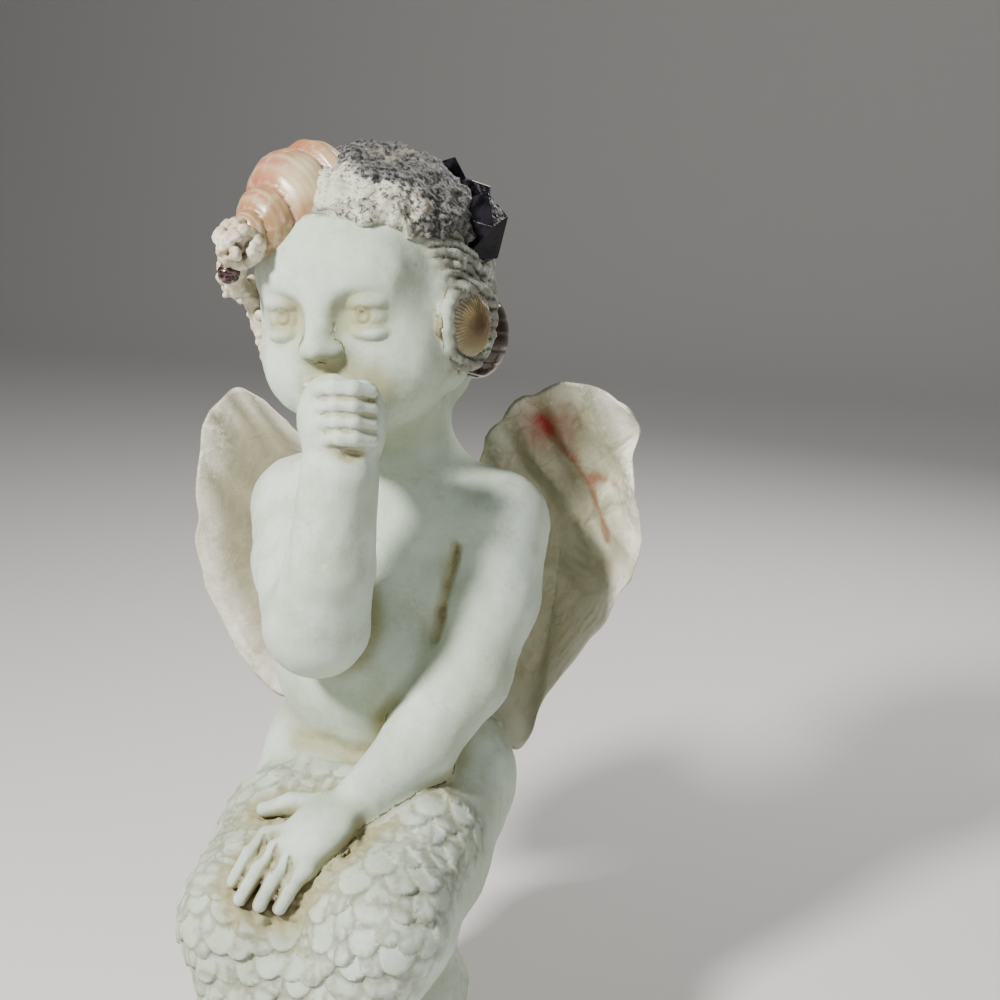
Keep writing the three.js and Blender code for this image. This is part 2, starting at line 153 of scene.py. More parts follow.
def distanceTo(form, points):
    if "radii" in form:
        local = (points - form["centre"]) @ form["turn"] / form["radii"]
        near = np.linalg.norm(local, axis=1) + 1e-9
        return near * (near - 1) / (np.linalg.norm(local / form["radii"], axis=1) + 1e-9)
    along = form["end"] - form["start"]
    share = np.clip((points - form["start"]) @ along / (along @ along), 0, 1)
    radius = form["startRadius"] * (1 - share) + form["endRadius"] * share
    return np.linalg.norm(points - form["start"] - share[:, None] * along, axis=1) - radius


def nearForm(form, points, margin):
    if "radii" in form:
        return np.linalg.norm(points - form["centre"], axis=1) < form["radii"].max() + margin
    middle = (form["start"] + form["end"]) / 2
    reach = np.linalg.norm(form["end"] - form["start"]) / 2 + max(form["startRadius"], form["endRadius"])
    return np.linalg.norm(points - middle, axis=1) < reach + margin


cube = 10  # the side of the cubes that points are grouped by
farAway = 60.0


def cubesOf(points):
    # points grouped by small cubes, so that a far form is passed over cube by cube
    keys = np.floor(points / cube).astype(np.int64) + 500
    labels, which = np.unique(keys @ (1, 1000, 1000000), return_inverse=True)
    corner = np.stack([labels % 1000, labels // 1000 % 1000, labels // 1000000], 1) - 500
    return (corner + 0.5) * cube, which


def distance(forms, points, margin=16):
    whole = np.full(len(points), farAway)
    middles, which = cubesOf(points)
    for form in forms:
        close = np.flatnonzero(nearForm(form, middles, margin + 0.87 * cube + form["melt"])[which])
        if not len(close):
            continue
        sign = -1 if form["dig"] else 1
        one = sign * distanceTo(form, points[close])
        have = whole[close]
        share = np.clip(0.5 + sign * 0.5 * (have - one) / form["melt"], 0, 1)
        whole[close] = have * (1 - share) + one * share - sign * form["melt"] * share * (1 - share)
    return whole


def slopeOf(forms, points, step=0.08):
    here = distance(forms, points)
    slope = [distance(forms, points + step * axis) - here for axis in np.eye(3)]
    return here, np.stack(slope, 1) / step


def settle(forms, points, rounds):
    for turn in range(rounds):
        if turn % 2 == 0:
            here, slope = slopeOf(forms, points)
            steep = np.maximum(np.linalg.norm(slope, axis=1), 0.35)
        else:
            here = distance(forms, points)
        points = points - slope / steep[:, None] * np.clip(here / steep, -2, 2)[:, None]
    return points


def reachOf(forms, middle, aims):
    inside = np.zeros(len(aims))
    outside = np.full(len(aims), 80.0)
    for far in np.arange(78, 20, -3.0):
        hit = distance(forms, middle + aims * far) < 0
        fresh = hit & (inside == 0)
        inside[fresh] = far
        outside[fresh] = far + 3
    for _ in range(10):
        half = (inside + outside) / 2
        hit = distance(forms, middle + aims * half[:, None]) < 0
        inside = np.where(hit, half, inside)
        outside = np.where(hit, outside, half)
    return inside


# Shapes as meshes

def coordinates(mesh):
    flat = np.empty(len(mesh.vertices) * 3)
    mesh.vertices.foreach_get("co", flat)
    return flat.reshape(-1, 3)


def normalsOf(mesh):
    flat = np.empty(len(mesh.vertices) * 3)
    mesh.vertices.foreach_get("normal", flat)
    return flat.reshape(-1, 3)


def moveTo(mesh, points):
    mesh.vertices.foreach_set("co", points.ravel())
    mesh.update()


def joinedForms(forms, voxel):
    clay = bmesh.new()
    for form in forms:
        if form["dig"]:
            continue
        if "radii" in form:
            place = Matrix.Translation(form["centre"]) @ Matrix(form["turn"]).to_4x4()
            place = place @ Matrix.Diagonal((*form["radii"], 1))
            bmesh.ops.create_icosphere(clay, subdivisions=3, radius=1, matrix=place)
            continue
        gap = max(1.2, 0.45 * min(form["startRadius"], form["endRadius"]))
        length = np.linalg.norm(form["end"] - form["start"])
        for share in np.linspace(0, 1, max(2, int(length / gap) + 1)):
            centre = form["start"] * (1 - share) + form["end"] * share
            radius = form["startRadius"] * (1 - share) + form["endRadius"] * share
            detail = 2 if radius < 6 else 3
            place = Matrix.Translation(centre)
            bmesh.ops.create_icosphere(clay, subdivisions=detail, radius=radius, matrix=place)
    mesh = bpy.data.meshes.new("clay")
    clay.to_mesh(mesh)
    clay.free()
    return remeshed(mesh, voxel)


def remeshed(mesh, voxel):
    holder = bpy.data.objects.new("clay", mesh)
    scene.collection.objects.link(holder)
    skin = holder.modifiers.new("skin", "REMESH")
    skin.mode = "VOXEL"
    skin.voxel_size = voxel
    return applied(holder)


def thinned(mesh, share):
    holder = bpy.data.objects.new("clay", mesh)
    scene.collection.objects.link(holder)
    fewer = holder.modifiers.new("fewer", "DECIMATE")
    fewer.ratio = share
    return applied(holder)


def applied(holder):
    graph = bpy.context.evaluated_depsgraph_get()
    made = bpy.data.meshes.new_from_object(holder.evaluated_get(graph))
    old = holder.data
    bpy.data.objects.remove(holder)
    bpy.data.meshes.remove(old)
    return made


def finer(mesh, wanted):
    clay = bmesh.new()
    clay.from_mesh(mesh)
    clay.verts.ensure_lookup_table()
    edges = [e for e in clay.edges if wanted[e.verts[0].index] and wanted[e.verts[1].index]]
    bmesh.ops.subdivide_edges(clay, edges=edges, cuts=1, use_grid_fill=True)
    bmesh.ops.triangulate(clay, faces=clay.faces)
    clay.to_mesh(mesh)
    clay.free()
    return mesh


def softStep(low, high, value):
    share = np.clip((value - low) / (high - low), 0, 1)
    return share * share * (3 - 2 * share)


def ripple(points, size, seed=0):
    return sum(
        np.sin((points @ direction) * 2 * math.pi / (size * stretch) + phase)
        for direction, stretch, phase in rippleWaves(seed)
    ) / 3.0


def rippleWaves(seed):
    dice = np.random.default_rng(seed)
    waves = []
    for _ in range(9):
        direction = dice.normal(size=3)
        waves.append((direction / np.linalg.norm(direction), dice.uniform(0.7, 1.6), dice.uniform(0, 6.28)))
    return waves


def addLayers(mesh, layers):
    for label, values in layers.items():
        layer = mesh.attributes.new(label, "FLOAT", "POINT")
        layer.data.foreach_set("value", np.clip(values, 0, 1).astype(np.float32))


def triangleCount(mesh):
    return sum(len(face.vertices) - 2 for face in mesh.polygons)


def finish(name, mesh, material, nodes, smooth=True, wash=None):
    moveTo(mesh, coordinates(mesh) * mm)
    mesh.name = name
    mesh.polygons.foreach_set("use_smooth", [smooth] * len(mesh.polygons))
    mesh.materials.clear()
    mesh.materials.append(material)
    addLayers(mesh, wash or {})
    holder = bpy.data.objects.new(name, mesh)
    scene.collection.objects.link(holder)
    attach(holder, "root")
    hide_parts(*nodes)
    print(name, "done with", triangleCount(mesh), "triangles")
    return holder


# The figure: head, hair, body, arms, hands, tail, fluke, rock seat and low base, one casting

limpet = {"centre": (33.5, -4, 279.5), "turn": (-108, 0, 0), "wide": 12, "high": 6.5, "ribs": 46}
head = {"centre": (-2.5, 2, 286), "turn": (-3, -3, -4)}
headTurn = turnOf(*head["turn"])


def onHead(point):
    return headTurn @ np.array(point, float) + head["centre"]


def headLump(centre, radii, melt=6, dig=False):
    form = lump(onHead(centre), radii, melt, dig=dig)
    form["turn"] = headTurn @ form["turn"]
    return form


def headBar(start, end, startRadius, endRadius, melt=3, dig=False):
    return bar(onHead(start), onHead(end), startRadius, endRadius, melt, dig)


def headForms():
    forms = [
        headLump((0, 4, 7), (36, 40, 39)),
        headLump((1, -9, -14), (31.5, 25, 29), 12),
        headLump((16, -16, -21), (15.5, 15, 15), 8),
        headLump((-14, -17, -21), (14.5, 14.5, 15), 8),
        headLump((0, -25, -37), (10, 9, 8), 8),
        headLump((0, -28, 10), (24, 9, 12), 10),
        headLump((0, 12, 4), (37.5, 36, 38), 4),
        headLump((29, -2, -4), (9, 14, 26), 5),
        headLump((-29, 0, -4), (9, 13, 26), 5),
        headLump((0, 26, -24), (25, 16, 20), 10),
    ]
    for side in (-1, 1):
        forms.append(headLump((side * 14, -37.5, -3.5), (8.5, 5.5, 5.5), 5, True))
    forms.append(headBar((0, -33.5, 2), (0, -39.5, -13), 2.6, 4.0, 5))
    for side in (-1, 1):
        forms.append(headLump((side * 4, -36, -14.3), (3, 3.4, 2.6), 4))
        forms.append(headLump((side * 2.1, -38.6, -17.6), (1.2, 1.6, 1.3), 1.5, True))
        forms.append(headLump((side * 14, -27.5, -3.8), (7.7, 6.9, 7.0), 0.6))
        # the two lids lie over the ball like the lips of a shell
        forms.append(headLump((side * 14, -27.5, 1.0), (8.6, 8.4, 5.4), 0.6))
        forms.append(headLump((side * 14, -27.5, -9.2), (8.2, 7.8, 4.0), 0.6))
    forms += [headLump((0, -34, -25), (8, 3.5, 2.0), 2), headLump((0, -33, -28.5), (7, 3.5, 2.4), 2)]
    forms.append(headBar((-7, -37.4, -26.6), (7, -37.4, -26.6), 0.9, 0.9, 1.6, True))
    forms += limpetBed()
    return forms


def limpetBed():
    # a ring of clay pressed up round the limpet
    forms = []
    turn = turnOf(*limpet["turn"])
    spots = []
    for step in np.linspace(0, 2 * math.pi, 15):
        reach = limpet["wide"] * (1.04 + 0.05 * math.sin(step * 3))
        spot = np.array((math.cos(step) * reach, 1.2, math.sin(step) * reach))
        spots.append(turn @ spot + limpet["centre"])
    for start, end in zip(spots, spots[1:]):
        forms.append(bar(start, end, 2.0, 2.0, 2.5))
    return forms


def bodyForms():
    return [
        lump((1, 6, 196), (37, 24, 37)),
        lump((-1, -3, 160), (37, 28, 30), 14),
        lump((-1, 6, 121), (44, 31, 29), 14),
        bar((5, 9, 229), (36, 9, 213), 12.5, 14.5, 12),
        bar((3, 9, 229), (-31, 8, 212), 12.5, 14.5, 12),
        lump((23, 28, 176), (12, 7, 34), 9, (-6, 0, 6)),
        lump((-21, 28, 178), (12, 7, 32), 9, (6, 0, -4)),
        bar((7, 9, 222), (5, 8, 252), 16.5, 17, 9),
    ]


tail = {
    "left": [(22, 2, 113), (25, -36, 105), (26, -67, 97), (17, -79, 68), (6, -83, 38)],
    "right": [(-19, 2, 113), (-18, -37, 102), (-16, -69, 93), (-9, -80, 66), (1, -84, 38)],
    "radii": [25.5, 24.2, 22.8, 17.5, 12],
    "between": [(2, 2, 108), (4, -30, 106), (4, -58, 101), (4, -75, 80), (3, -84, 38)],
    "betweenRadii": [22, 21, 19, 16, 10],
    "middle": [(1, 2, 112), (4, -36, 104), (5, -68, 96), (5, -80, 68), (4, -84, 38), (4, -88, 18)],
}


def tailForms():
    forms = chain(tail["left"], tail["radii"], 7, 10) + chain(tail["right"], tail["radii"], 7, 10)
    forms += chain(tail["between"], tail["betweenRadii"], 9)
    forms += chain([(4, -83, 44), (4, -87, 24), (4, -90, 14)], [12, 9, 8], 8)
    for side in (-1, 1):
        lobe = [(4, -87, 20), (4 + 12 * side, -91, 15), (4 + 25 * side, -91, 13), (4 + 37 * side, -85, 14)]
        forms += [lump((4 + 20 * side, -90, 13.5), (24, 13, 4.2), 6, (-9 * side, -4, 0))]
        forms += chain(lobe + [(4 + 43 * side, -77, 16)], [6, 4.6, 3.8, 2.8, 1.6], 6)
    return forms


def armForms():
    left = [(41, 8, 210), (40, 0, 186), (35.5, -12, 162), (26, -30, 143.5), (14, -50, 131.5)]
    forms = chain(left, [17.5, 16.8, 15, 12.3, 8.6], 4, 6)
    forms += chain([(-32, 6, 210), (-22, -16, 197), (-6, -40, 186)], [17.5, 16, 17], 4, 7)
    forms += chain([(-4.5, -42, 185.5), (3.5, -48, 208), (8.5, -50, 238)], [17.3, 14, 12.2], 2.5)
    forms.append(lump((24.8, -9.6, 187), (5.5, 5.2, 11), 5))  # clay pressed into the armpit
    return forms


def handForms():
    forms = [lump((4.5, -65, 125.5), (11, 15, 6.5), 5, (-21, 22, 0))]
    knuckles = np.array([(-11.5, -69, 122.5), (-6, -74, 121), (0, -76.5, 119.5), (5.5, -77, 118)], float)
    tips = np.array([(-15.5, -85.5, 114.5), (-11.5, -89, 111), (-5.5, -88, 109.5), (0, -85.5, 108)], float)
    wrist = np.array((10, -58, 128), float)
    for knuckle, tip in zip(knuckles, tips):
        forms.append(bar(wrist * 0.45 + knuckle * 0.55, knuckle, 2.4, 2.9, 2.5))
        bend = (knuckle + tip) / 2 + (0, 0, 1.6)
        forms += chain([knuckle, bend, tip], [2.9, 2.65, 2.2], 0.7, 1.8)
    for first, second in zip(knuckles, knuckles[1:]):
        web = (first + second) / 2 + (-1.2, -4, 0)
        forms.append(lump(web, (0.7, 5, 3.5), 0.9, (15, 18, 0), True))
    forms += chain([(1, -54, 128), (-10, -54, 127), (-18.5, -57, 125)], [4, 3.5, 2.6], 1.5, 4)
    return forms


def fistForms():
    forms = [lump((6.5, -49, 255), (11.5, 9.5, 14.5), 5), lump((16.5, -48.5, 255), (6.5, 8.5, 13), 4)]
    forms += chain([(7, -44, 240), (3, -39, 249), (2, -36, 256)], [5, 4.4, 3.8], 2)
    for i in range(4):
        height, inset = 266.3 - i * 4.9, (0, 0.6, 1.4, 2.6)[i]
        points = [
            (2.5 + inset, -54.5, height - 2.4),
            (6.5 + inset, -57.6, height + 0.1),
            (11.5 + inset * 0.6, -58.6, height + 0.9),
            (17, -57.2, height + 0.6),
            (21, -53.2, height - 0.9),
        ]
        forms += chain(points, [1.9, 2.5, 2.7, 2.6, 2.0], 0.9, 2)
    forms.append(lump((17, -58.5, 246.6), (4.6, 4, 1.9), 1.2, (0, 0, 8), True))
    return forms


def seatForms():
    return [
        lump((-4, -5, 49), (30, 39, 49), 10),
        lump((-4, -5, 26), (33, 42, 27), 8),
        lump((-6, 8, 78), (29, 27, 22), 10),
        lump((0, -30, 5.5), (46.5, 62, 9), 6),
        lump((0, -30, 3), (47, 63, 9), 3),
    ]


softBase = seatForms()
softBody = bodyForms() + armForms()
softTail = tailForms()
softHands = handForms() + fistForms()
softHead = headForms()
figureForms = softBase + softBody + softTail + softHands + softHead


def farFromLine(points, line):
    line = np.array(line, float)
    far = np.full(len(points), 99.0)
    for low, high in zip(line, line[1:]):
        share = np.clip((points - low) @ (high - low) / ((high - low) @ (high - low)), 0, 1)
        far = np.minimum(far, np.linalg.norm(points - low - share[:, None] * (high - low), axis=1))
    return far


def alongPath(points, path):
    # length along a path of points, and the offset from it, for each point
    path = np.array(path, float)
    best = np.full(len(points), 1e9)
    length = np.zeros(len(points))
    side = np.zeros((len(points), 3))
    start = 0.0
    for low, high in zip(path, path[1:]):
        way = high - low
        share = np.clip((points - low) @ way / (way @ way), 0, 1)
        offset = points - low - share[:, None] * way
        far = np.linalg.norm(offset, axis=1)
        nearer = far < best
        best = np.where(nearer, far, best)
        length = np.where(nearer, start + share * np.linalg.norm(way), length)
        side = np.where(nearer[:, None], offset, side)
        start += np.linalg.norm(way)
    return length, side


scale = {"gap": 7.4, "wide": 5.6, "long": 7.2, "rise": 2.3, "seed": 4}


def flowOf(points):
    # the way down the tail at each point
    path = np.array(tail["middle"], float)
    flow = np.zeros((len(points), 3))
    for low, high in zip(path, path[1:]):
        way = high - low
        share = np.clip((points - low) @ way / (way @ way), 0, 1)
        far = np.linalg.norm(points - low - share[:, None] * way, axis=1)
        flow += way / np.linalg.norm(way) * np.exp(-far / 7)[:, None]
    return flow / np.linalg.norm(flow, axis=1)[:, None]


def evenSpots(points, gap, seed):
    # spots a steady gap apart on a surface
    dice = np.random.default_rng(seed)
    chosen = np.zeros((0, 3))
    for index in dice.permutation(len(points))[:9000]:
        if not len(chosen) or np.min(np.sum((chosen - points[index]) ** 2, axis=1)) > (gap * 0.8) ** 2:
            chosen = np.vstack([chosen, points[index]])
    sample = points[dice.permutation(len(points))[:16000]]
    for _ in range(4):
        nearest = np.array([np.argmin(np.sum((chosen - point) ** 2, axis=1)) for point in sample])
        for spot in range(len(chosen)):
            if np.any(nearest == spot):
                chosen[spot] = sample[nearest == spot].mean(axis=0)
    return chosen


def scaleRelief(points, normals, scaly):
    # overlapping rounded scales, loose at the lower edge: height, and a mask of the gaps between them, where
    # shade is painted
    height = np.zeros(len(points))
    edge = np.zeros(len(points))
    place = np.flatnonzero(scaly > 0.05)
    if not len(place):
        return height, edge
    spots = evenSpots(points[place], scale["gap"], scale["seed"])
    flow = flowOf(spots)
    dice = np.random.default_rng(scale["seed"] + 1)
    for spot, way in zip(spots, flow):
        size = dice.uniform(0.88, 1.14)
        lean = dice.uniform(-0.25, 0.25)
        near = place[np.abs(points[place] - spot).max(axis=1) < scale["long"] * 1.5]
        if not len(near):
            continue
        out = normals[near].mean(axis=0)
        out /= np.linalg.norm(out)
        down = way - out * (way @ out)
        down /= max(1e-6, np.linalg.norm(down))
        side = np.cross(out, down)
        offset = points[near] - spot
        along = (offset @ down + lean * (offset @ side)) / (scale["long"] * size)
        across = (offset @ side) / (scale["wide"] * size)
        shape = 1 - np.where(along > 0, np.hypot(along, across), np.maximum(np.abs(across), -along * 0.75))
        rise = (0.62 + 0.42 * along - 0.12 * across ** 2) * softStep(0, 0.10, shape)
        rise *= dice.uniform(0.75, 1.15)
        better = rise > height[near]
        rim = 1 - softStep(0.0, 0.17, shape)
        edge[near] = np.where(better, rim, np.maximum(edge[near], 0.7 * rim * (shape > -0.1)))
        height[near] = np.where(better, rise, height[near])
    return height * scaly * scale["rise"], edge * scaly


def lockRelief(points):
    # clay hair: ribs that sweep up and back from the temples, and softer locks behind
    local = (points - head["centre"]) @ headTurn
    turn = np.abs(np.arctan2(local[:, 0], -local[:, 1] + 4))
    lift = np.arctan2(local[:, 2], np.hypot(local[:, 0], local[:, 1]))
    zone = softStep(0.98, 1.16, turn + 0.22 * softStep(0.1, 0.7, lift)) * softStep(-0.72, -0.5, lift)
    over = softStep(0.62, 0.8, lift)
    zone = np.maximum(zone, over)
    rib = local[:, 2] * 0.27 + (local[:, 1] + 8) * 0.11
    rib += 0.5 * ripple(local, 30, 3) + 0.12 * ripple(local, 9, 4)
    fine = np.abs(np.sin(rib * math.pi)) ** 0.7
    broad = 0.5 + 0.5 * np.sin(rib * 1.9 + 0.6)
    height = 1.3 * fine + 0.8 * broad - 0.9 + 0.35 * ripple(local, 5, 5) + 0.2 * ripple(local, 2.6, 6)
    return height, zone, 1 - fine


# the armpit and belly creases, dug in and darkened by their wash: painted shade, on the belly partly the
# clay's ochre wash
creases = [
    {"path": [(32, -10.5, 206), (31, -11.6, 198), (29.2, -14.8, 188), (27.6, -20.5, 177)],
     "wide": 1.7, "deep": 1.3, "wash": 0.85, "spread": 1.1},
    {"path": [(-23, -22, 134.5), (-9.5, -24.4, 136.2), (-0.7, -25.9, 132.5), (6, -25, 134)],
     "wide": 2.2, "deep": 1.2, "wash": 0.3, "spread": 1.6},
]


def enclosedShadeAndWash(points, normals):
    # how enclosed a point is, from the distance a little way out from it: painted shade, darker in enclosed
    # places and between the fingers, with the clay's olive wash
    near = np.clip(1 - distance(figureForms, points + normals * 2.5) / 2.5, 0, 1)
    wide = np.clip(1 - distance(figureForms, points + normals * 7) / 7, 0, 1)
    return 0.55 * near + 0.5 * wide + 0.3 * near * (distance(softHands, points) < 1.2)


def scalyPart(points):
    # the scales stop short of the belly, the hand, the seat and a smooth band down the tail's left side
    length, offset = alongPath(points, tail["middle"])
    turn = np.arctan2(offset[:, 0], -(offset[:, 1] * 0.75 - offset[:, 2] * 0.65))
    scaly = softStep(18, 32, length - 8 * softStep(0, 1.2, turn)) * softStep(190, 172, length)
    scaly *= distance(softTail, points) < 1.2
    scaly *= 1 - softStep(1.25, 1.6, turn) * softStep(2.3, 1.9, turn)
    scaly *= softStep(0.5, 3.0, distance(softBody, points)) * softStep(0.6, 2.5, distance(softHands, points))
    return scaly * softStep(0, 3, distance(softBase, points))


iris = {"place": (14, -35, -3.6), "radius": 2.7, "line": 0.45, "pupil": 1.5}


def eyeRelief(points):
    height, wash = np.zeros(len(points)), np.zeros(len(points))
    across, up, forward = iris["place"]
    for side in (-1, 1):
        eye = (points - onHead((side * across, up, forward))) @ headTurn
        out = np.hypot(eye[:, 0], eye[:, 2])
        ball = (np.abs(eye[:, 1]) < 5) & (out < 4.5)
        height -= ball * 0.3 * np.exp(-(((out - iris["radius"]) / iris["line"]) ** 2))
        height -= ball * 0.6 * softStep(iris["pupil"], 0.8, out)
        # painted shade in the eye sockets, partly the olive-brown stain round the eyes, and the iris disc
        # darker
        wash += 0.22 * softStep(10, 5, np.linalg.norm(eye * (0.8, 1, 1.25), axis=1))
        wash += ball * 0.35 * softStep(3.2, 2.6, out)
    return height, wash


def hairRelief(points):
    # the locks, lower on the ring of clay round the limpet
    height, zone, grooveShade = lockRelief(points)
    zone = zone * (distance(softHead, points) < 1.0) * (points[:, 2] > 244)
    ring = np.abs(np.linalg.norm(points - limpet["centre"], axis=1) - limpet["wide"] - 1)
    # the grooves between the locks are passed on for painted shade
    return height * zone * (0.35 + 0.65 * softStep(2, 6, ring)), 0.5 * grooveShade * zone, zone


def creaseRelief(points):
    height, wash = np.zeros(len(points)), np.zeros(len(points))
    for crease in creases:
        far = farFromLine(points, crease["path"]) + 0.3 * ripple(points, 6, 34)
        height -= crease["deep"] * np.exp(-((far / crease["wide"]) ** 2))
        # painted shade along each crease
        wash += crease["wash"] * np.exp(-((far / (crease["wide"] * crease["spread"])) ** 2))
    return height, wash


wingJoint = {"place": (36, 24, 142), "inner": 12, "outer": 24}


def pittedClay(points, scaly, scaleHeight):
    # pitted clay round the hand, and where the left wing joins the back; its wash is painted shade in the
    # deeper pits, and darker all round the hand
    pits = ripple(points, 3.4, 11) * 0.45 + ripple(points, 7, 12) * 0.5
    around = np.exp(-((distance(softHands, points) / 7) ** 2)) * scaly * (points[:, 2] < 140)
    height = around * (0.4 + 1.5 * pits - scaleHeight * 0.8)
    wash = around * (0.3 + 0.4 * softStep(0.1, -0.5, pits))
    far = np.linalg.norm((points - wingJoint["place"]) / (1, 1, 1.5), axis=1)
    joint = softStep(wingJoint["outer"], wingJoint["inner"], far) * (distance(softBody, points) < 1.5)
    height += joint * (0.6 * pits + 0.5 * ripple(points, 13, 35))
    wash += joint * 0.3 * softStep(0.1, -0.4, pits)
    return height, wash, around


def carveFigure(points, normals):
    scaly = scalyPart(points)
    height, gap = scaleRelief(points, normals, scaly)
    # the wash layer is painted shade in enclosed places, scale gaps, pits, creases, eye sockets and hair
    # grooves, with the olive wash the clay has there
    wash = enclosedShadeAndWash(points, normals) + 0.25 * gap
    clayHeight, pitShadeAndWash, clay = pittedClay(points, scaly, height)
    hairHeight, hairGrooveShade, hair = hairRelief(points)
    height = height + clayHeight + hairHeight
    wash += pitShadeAndWash + hairGrooveShade
    for more, darker in (eyeRelief(points), creaseRelief(points)):
        height += more
        wash += darker
    stone = (distance(softBase, points) < 1.0) & (distance(softTail, points) > 1.5)
    height += stone * (0.9 * ripple(points, 17, 21) + 0.4 * ripple(points, 6, 22))
    wash += stone * 0.2
    height += 0.10 * ripple(points, 9, 31) + 0.04 * ripple(points, 3, 32)  # hand-modelled unevenness
    return height, {"wash": wash, "hair": hair, "gap": gap, "clay": clay}


figureMesh = {"voxel": 1.0, "triangles": 196000, "underside": 1.2}


def makeFigure(material):
    mesh = joinedForms(figureForms, figureMesh["voxel"])
    points = settle(figureForms, coordinates(mesh), 4)
    moveTo(mesh, points)
    face = (distance(softHead, points) < 1) & (points[:, 1] < -16) & (points[:, 2] > 246)
    hands = distance(softHands, points) < 1.2
    length = alongPath(points, tail["middle"])[0]
    shown = (distance(softTail, points) < 1.5) & (length > 14) & (points[:, 2] > 42) & (points[:, 1] < 0)
    finer(mesh, face | hands | shown)
    points = settle(figureForms, coordinates(mesh), 2)
    moveTo(mesh, points)
    height, layers = carveFigure(points, normalsOf(mesh))
    points = points + normalsOf(mesh) * height[:, None]
    points[:, 2] = np.where(points[:, 2] < figureMesh["underside"], 0.0, points[:, 2])
    moveTo(mesh, points)
    print("figure carved,", len(points), "points")
    addLayers(mesh, layers)
    mesh = thinned(mesh, figureMesh["triangles"] / triangleCount(mesh))
    finish("figureCasting", mesh, material, ["figure"])


# Oyster shell wings, hollow side forward

wing = {
    "wall": 3.6, "cup": 13, "plane": 30, "around": 150, "out": 70,
    "leaves": 9, "spokes": 17, "foldGap": 13, "wave": 2.4, "vein": 1.3, "crack": 0.55,
}
leftWing = {
    "rim": [
        (24, 132), (30, 235), (61, 257), (83, 245), (82, 226), (86, 202), (79, 180), (54, 143), (42, 119),
    ],
    "middle": (54, 195), "waves": 3, "hinge": (66, 262), "folds": 1.0, "seed": 41,
    "vein": [[(52, 238), (57.5, 229.5), (64, 221), (69, 210), (72, 199)], [(66, 222), (74, 219)]],
    "crack": [[(66, 250), (58, 236)], [(80, 237), (63, 223)], [(79, 214), (67, 207)], [(69, 210), (63, 203)]],
}
rightWing = {
    "rim": [(-88, 180), (-82, 233), (-66, 247), (-43, 232), (-15, 205), (-24, 140), (-53, 127), (-76, 150)],
    "middle": (-52, 190), "waves": 2, "hinge": (-62, 240), "folds": 0.12, "seed": 42,
    "vein": [], "crack": [[(-80, 206), (-72, 190)]],
}


def loopCurve(rim, shares):
    # a smooth closed curve through the rim points
    rim = np.array(rim, float)
    place = (shares % 1) * len(rim)
    first = np.floor(place).astype(int)
    t = (place - first)[:, None]
    p0, p1, p2, p3 = (rim[(first + k) % len(rim)] for k in (-1, 0, 1, 2))
    gap = []
    for low, high in ((p0, p1), (p1, p2), (p2, p3)):
        gap.append(np.maximum(np.linalg.norm(high - low, axis=1)[:, None] ** 0.5, 1e-4))
    m1 = (p2 - p1) / gap[1] - (p2 - p0) / (gap[0] + gap[1]) + (p1 - p0) / gap[0]
    m2 = (p3 - p2) / gap[2] - (p3 - p1) / (gap[1] + gap[2]) + (p2 - p1) / gap[1]
    m1, m2 = m1 * gap[1], m2 * gap[1]
    return ((2 * t ** 3 - 3 * t ** 2 + 1) * p1 + (t ** 3 - 2 * t ** 2 + t) * m1
            + (-2 * t ** 3 + 3 * t ** 2) * p2 + (t ** 3 - t ** 2) * m2)


def sphereMesh(around, rows):
    ball = bmesh.new()
    bmesh.ops.create_uvsphere(ball, u_segments=around, v_segments=rows, radius=1)
    mesh = bpy.data.meshes.new("ball")
    ball.to_mesh(mesh)
    ball.free()
    return mesh, coordinates(mesh)


def shapeTo(mesh, points):
    # moves the points there and turns every face outwards
    moveTo(mesh, points)
    shell = bmesh.new()
    shell.from_mesh(mesh)
    bmesh.ops.recalc_face_normals(shell, faces=shell.faces)
    shell.to_mesh(mesh)
    shell.free()
    mesh.update()


